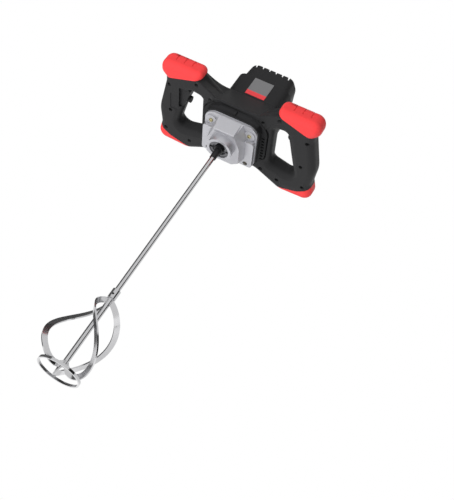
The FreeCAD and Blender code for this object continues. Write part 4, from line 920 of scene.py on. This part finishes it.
@dataclass
class Fasteners:
    """Visible screws, each set as one piece in place of its plain CAD node."""

    frame: Frame
    case: Screw = Screw("gear_case_screws", Slot.ZINC_SCREWS, head_radius=0.0042, head_height=0.003,
                        shank_radius=0.0024, shank_length=0.025)
    case_x: float = 0.0443
    case_y: Pair = (-0.0198, 0.058)
    case_seat: float = -0.047
    retainer: Screw = Screw("retainer_screws", Slot.BLACK_STEEL, head_radius=0.0027, head_height=0.002,
                            shank_radius=0.0014, shank_length=0.0105)
    retainer_pitch: float = 0.0182
    retainer_count: int = 4
    retainer_seat: float = -0.0895
    shell: Screw = Screw("shell_screws", Slot.BLACK_STEEL, head_radius=0.0036, head_height=0.003,
                         shank_radius=0.0019, shank_length=0.024)
    shell_places: tuple[Pair, ...] = (
        (0.1604, -0.0379), (0.0948, -0.0697), (0.0610, -0.0480), (0.1559, 0.0371), (0.1676, 0.0990),
        (0.1081, 0.1104), (0.0670, 0.0970))
    shell_seat: float = -0.012
    cap: Screw = Screw("end_cap_screws", Slot.BLACK_STEEL, head_radius=0.0036, head_height=0.003,
                       shank_radius=0.0019, shank_length=0.031, points_up=True)
    cap_x: float = 0.037
    cap_y: Pair = (0.002, 0.068)
    cap_seat: float = 0.125

    def build(self) -> None:
        """Make the four sets of screws."""
        tree = cross_screw_tree()
        self.place(tree, self.case, [(side * self.case_x, y, self.case_seat) for side in SIDES
                                     for y in self.case_y])
        self.place(tree, self.retainer, self.retainer_places())
        self.place(tree, self.shell, [(side * x, y, self.shell_seat) for side in SIDES
                                      for x, y in self.shell_places])
        self.place(tree, self.cap, [(side * self.cap_x, y, self.cap_seat) for side in SIDES
                                    for y in self.cap_y])

    def retainer_places(self) -> list[Point]:
        """Seats of the screws in a ring about the spindle axis.

        Returns:
            The seats.
        """
        turns = [math.radians(360.0 * step / self.retainer_count) for step in range(self.retainer_count)]
        pitch = self.retainer_pitch
        return [(pitch * math.cos(turn), pitch * math.sin(turn), self.retainer_seat) for turn in turns]

    def place(self, tree: GeometryTree, screw: Screw, seats: list[Point]) -> None:
        """Make one set of screws.

        Args:
            tree: the screw tree.
            screw: the kind of screw.
            seats: the seats of the heads.
        """
        piece = tree.run("cross_" + screw.node, seats, {
            "Head Radius": screw.head_radius, "Head Height": screw.head_height,
            "Recess Width": screw.head_radius * RECESS_WIDTH,
            "Recess Depth": screw.head_height * RECESS_DEPTH,
            "Shank Radius": screw.shank_radius, "Shank Length": screw.shank_length,
            "Flip": 0.0 if screw.points_up else math.pi, "Material": self.frame.materials.pick(screw.slot)})
        self.frame.show(piece, Body.HOUSING, screw.slot, screw.node)


@dataclass(frozen=True)
class Camera:
    """Camera of the photograph, recovered from the drill's own lines."""

    place: Point = (0.50859, -1.41014, -1.16889)
    right: Point = (0.87977604, -0.05462613, 0.47223945)
    down: Point = (0.4202185, 0.55384993, -0.71879529)
    forward: Point = (-0.22228479, 0.83082263, 0.51021881)
    focal_pixels: float = 897.24
    image_height: int = 500
    sensor: float = 36.0
    farthest: float = 50.0

    def build(self) -> None:
        """Make the camera and use it for the scene."""
        data = bpy.data.cameras.new("photo_camera")
        data.sensor_fit = "AUTO"
        data.sensor_width = self.sensor
        data.lens = self.sensor * self.focal_pixels / self.image_height
        data.clip_end = self.farthest
        camera = placed("photo_camera", data)
        axes = Matrix((Vector(self.right), -Vector(self.down), -Vector(self.forward))).transposed()
        camera.matrix_world = Matrix.Translation(self.place) @ axes.to_4x4()
        bpy.context.scene.camera = camera


@dataclass(frozen=True)
class Lamp:
    """One soft square lamp that faces the middle of the drill and doesn't show in bright metal."""

    name: str
    place: Point
    size: float
    power: float
    on_floor: bool = False


@dataclass(frozen=True)
class Flag:
    """One dark upright card that only bright metal sees.

    Its bearing, to the right of the camera, and its other angles are in degrees from the drill's middle.
    """

    name: str
    bearing: float
    half_width: float
    low: float
    high: float
    shade: float


@dataclass
class Studio:
    """Floor, background, lamps and flags."""

    camera: Camera
    middle: Point = (0.0, 0.0, -0.2)
    matt: float = 0.9
    floor_z: float = -1.7
    floor_half: float = 20.0
    floor_colour: Colour = (0.86, 0.86, 0.86)
    floor_glow: Pair = (0.5, 1.0)
    floor_fade: Pair = (1.0, 4.0)
    ambient: float = 0.38
    lamps: tuple[Lamp, ...] = (
        Lamp("key_lamp", (-0.89, -1.52, -1.05), size=1.0, power=34.0),
        Lamp("fill_lamp", (1.71, -0.69, -0.29), size=1.2, power=2.0),
        Lamp("under_lamp", (0.2, -0.1, -1.6), size=1.0, power=14.0),
        Lamp("back_lamp", (-0.64, 0.37, 1.66), size=1.4, power=12.0, on_floor=True),
    )
    flags: tuple[Flag, ...] = (
        Flag("right_flag", bearing=54.0, half_width=18.0, low=-20.0, high=75.0, shade=0.012),
        Flag("left_flag", bearing=-105.0, half_width=45.0, low=-20.0, high=75.0, shade=0.20),
    )
    flag_distance: float = 2.6

    def build(self) -> None:
        """Make the studio."""
        floor = self.build_floor()
        for flag in self.flags:
            self.build_flag(flag)
        self.build_world()
        for lamp in self.lamps:
            self.build_lamp(lamp, floor)
        bpy.context.scene.view_settings.view_transform = "Standard"

    @staticmethod
    def seen_directly(wiring: Wiring) -> bpy.types.NodeSocket:
        """Mask of the rays that show the surroundings as they are: to the eye, in metal and through glass.

        Args:
            wiring: the tree that gets the nodes.

        Returns:
            The mask's output.
        """
        rays = wiring.add("ShaderNodeLightPath").outputs
        seen = wiring.math("MAXIMUM", rays["Is Camera Ray"], rays["Is Glossy Ray"])
        return wiring.math("MAXIMUM", seen, rays["Is Transmission Ray"])

    def card(self, name: str, corners: list[Point], cloth: str, colour: Colour) -> bpy.types.Object:
        """Make a flat matt card with four corners.

        Args:
            name: the card's name.
            corners: its corners in order.
            cloth: name of its material.
            colour: its colour.

        Returns:
            The card.
        """
        material = bpy.data.materials.new(cloth)
        material.use_nodes = True
        shader = material.node_tree.nodes["Principled BSDF"]
        shader.inputs["Base Color"].default_value = (*colour, 1.0)
        shader.inputs["Roughness"].default_value = self.matt
        mesh = bpy.data.meshes.new(name)
        mesh.from_pydata(corners, [], [(0, 1, 2, 3)])
        mesh.materials.append(material)
        made = placed(name, mesh)
        return made

    def build_floor(self) -> bpy.types.Object:
        """Plain pale floor below the hanging drill and the camera, that fades to the white background.

        Returns:
            The floor.
        """
        half = self.floor_half
        corners = [(side_x * half, side_y * half, self.floor_z)
                   for side_x, side_y in ((-1, -1), (1, -1), (1, 1), (-1, 1))]
        floor = self.card("studio_floor", corners, "PaleFloor", self.floor_colour)
        tree = floor.data.materials[0].node_tree
        wiring = Wiring(tree)
        place = wiring.add("ShaderNodeTexCoord").outputs["Object"]
        away = wiring.add("ShaderNodeVectorMath", {0: place, 1: (0.0, 0.0, self.floor_z)},
                          operation="DISTANCE")
        near, far = self.floor_fade
        dim, full = self.floor_glow
        fade = wiring.add("ShaderNodeMapRange", {
            "Value": away.outputs["Value"], "From Min": near, "From Max": far, "To Min": dim, "To Max": full},
            interpolation_type="SMOOTHSTEP")
        glow = wiring.math("MULTIPLY", self.seen_directly(wiring), fade.outputs["Result"])
        shader = tree.nodes["Principled BSDF"]
        shader.inputs["Emission Color"].default_value = (*WHITE, 1.0)
        wiring.feed(shader.inputs["Emission Strength"], glow)
        return floor

    def build_world(self) -> None:
        """White background to the eye and in reflections, softer as a source of light."""
        world = bpy.data.worlds.new("studio_world")
        world.use_nodes = True
        bpy.context.scene.world = world
        world.node_tree.nodes.clear()
        wiring = Wiring(world.node_tree)
        strength = wiring.add("ShaderNodeMapRange", {
            "Value": self.seen_directly(wiring), "To Min": self.ambient, "To Max": 1.0})
        background = wiring.add("ShaderNodeBackground", {
            "Color": (*WHITE, 1.0), "Strength": strength.outputs["Result"]})
        wiring.add("ShaderNodeOutputWorld", {"Surface": background.outputs["Background"]})

    def build_flag(self, flag: Flag) -> None:
        """Make one dark card, hidden from the camera and from the lamps' light.

        Args:
            flag: its bearing, size and shade.
        """
        ahead = -Vector(self.camera.forward).to_2d().normalized()
        aside = Vector((-ahead.y, ahead.x))
        corners = []
        for side, rise in ((-1, flag.low), (1, flag.low), (1, flag.high), (-1, flag.high)):
            bearing = math.radians(flag.bearing + side * flag.half_width)
            level = ahead * math.cos(bearing) + aside * math.sin(bearing)
            height = math.tan(math.radians(rise))
            corners.append(Vector(self.middle) + Vector((level.x, level.y, height)) * self.flag_distance)
        card = self.card(flag.name, corners, flag.name + "_cloth", (flag.shade,) * 3)
        card.visible_camera = False
        card.visible_diffuse = False
        card.visible_shadow = False

    def build_lamp(self, lamp: Lamp, floor: bpy.types.Object) -> None:
        """Make one area lamp that faces the drill.

        Args:
            lamp: its place, size and power, and whether it lights the floor.
            floor: the studio's floor.
        """
        data = bpy.data.lights.new(lamp.name, "AREA")
        data.shape = "SQUARE"
        data.size = lamp.size
        data.energy = lamp.power
        light = placed(lamp.name, data)
        light.location = lamp.place
        light.rotation_mode = "QUATERNION"
        light.rotation_quaternion = (Vector(self.middle) - Vector(lamp.place)).to_track_quat("-Z", "Y")
        light.visible_glossy = False
        if not lamp.on_floor:
            kept_dark = bpy.data.collections.new(lamp.name + "_kept_dark")
            kept_dark.objects.link(floor)
            kept_dark.collection_objects[0].light_linking.link_state = "EXCLUDE"
            light.light_linking.receiver_collection = kept_dark


def main() -> None:
    """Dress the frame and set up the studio."""
    logging.basicConfig(level=logging.INFO, format="%(name)s: %(message)s")
    for left_over in list(bpy.data.objects):
        bpy.data.objects.remove(left_over)
    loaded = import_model()
    frame = Frame(loaded, Materials(Palette()))
    frame.paint()
    Housing(frame).build()
    Spindle(frame).build()
    Controls(frame).build()
    Fasteners(frame).build()
    camera = Camera()
    camera.build()
    Studio(camera).build()
    log.info("dressed %d nodes", len(loaded["nodes"]))


if __name__ == "__main__":
    main()
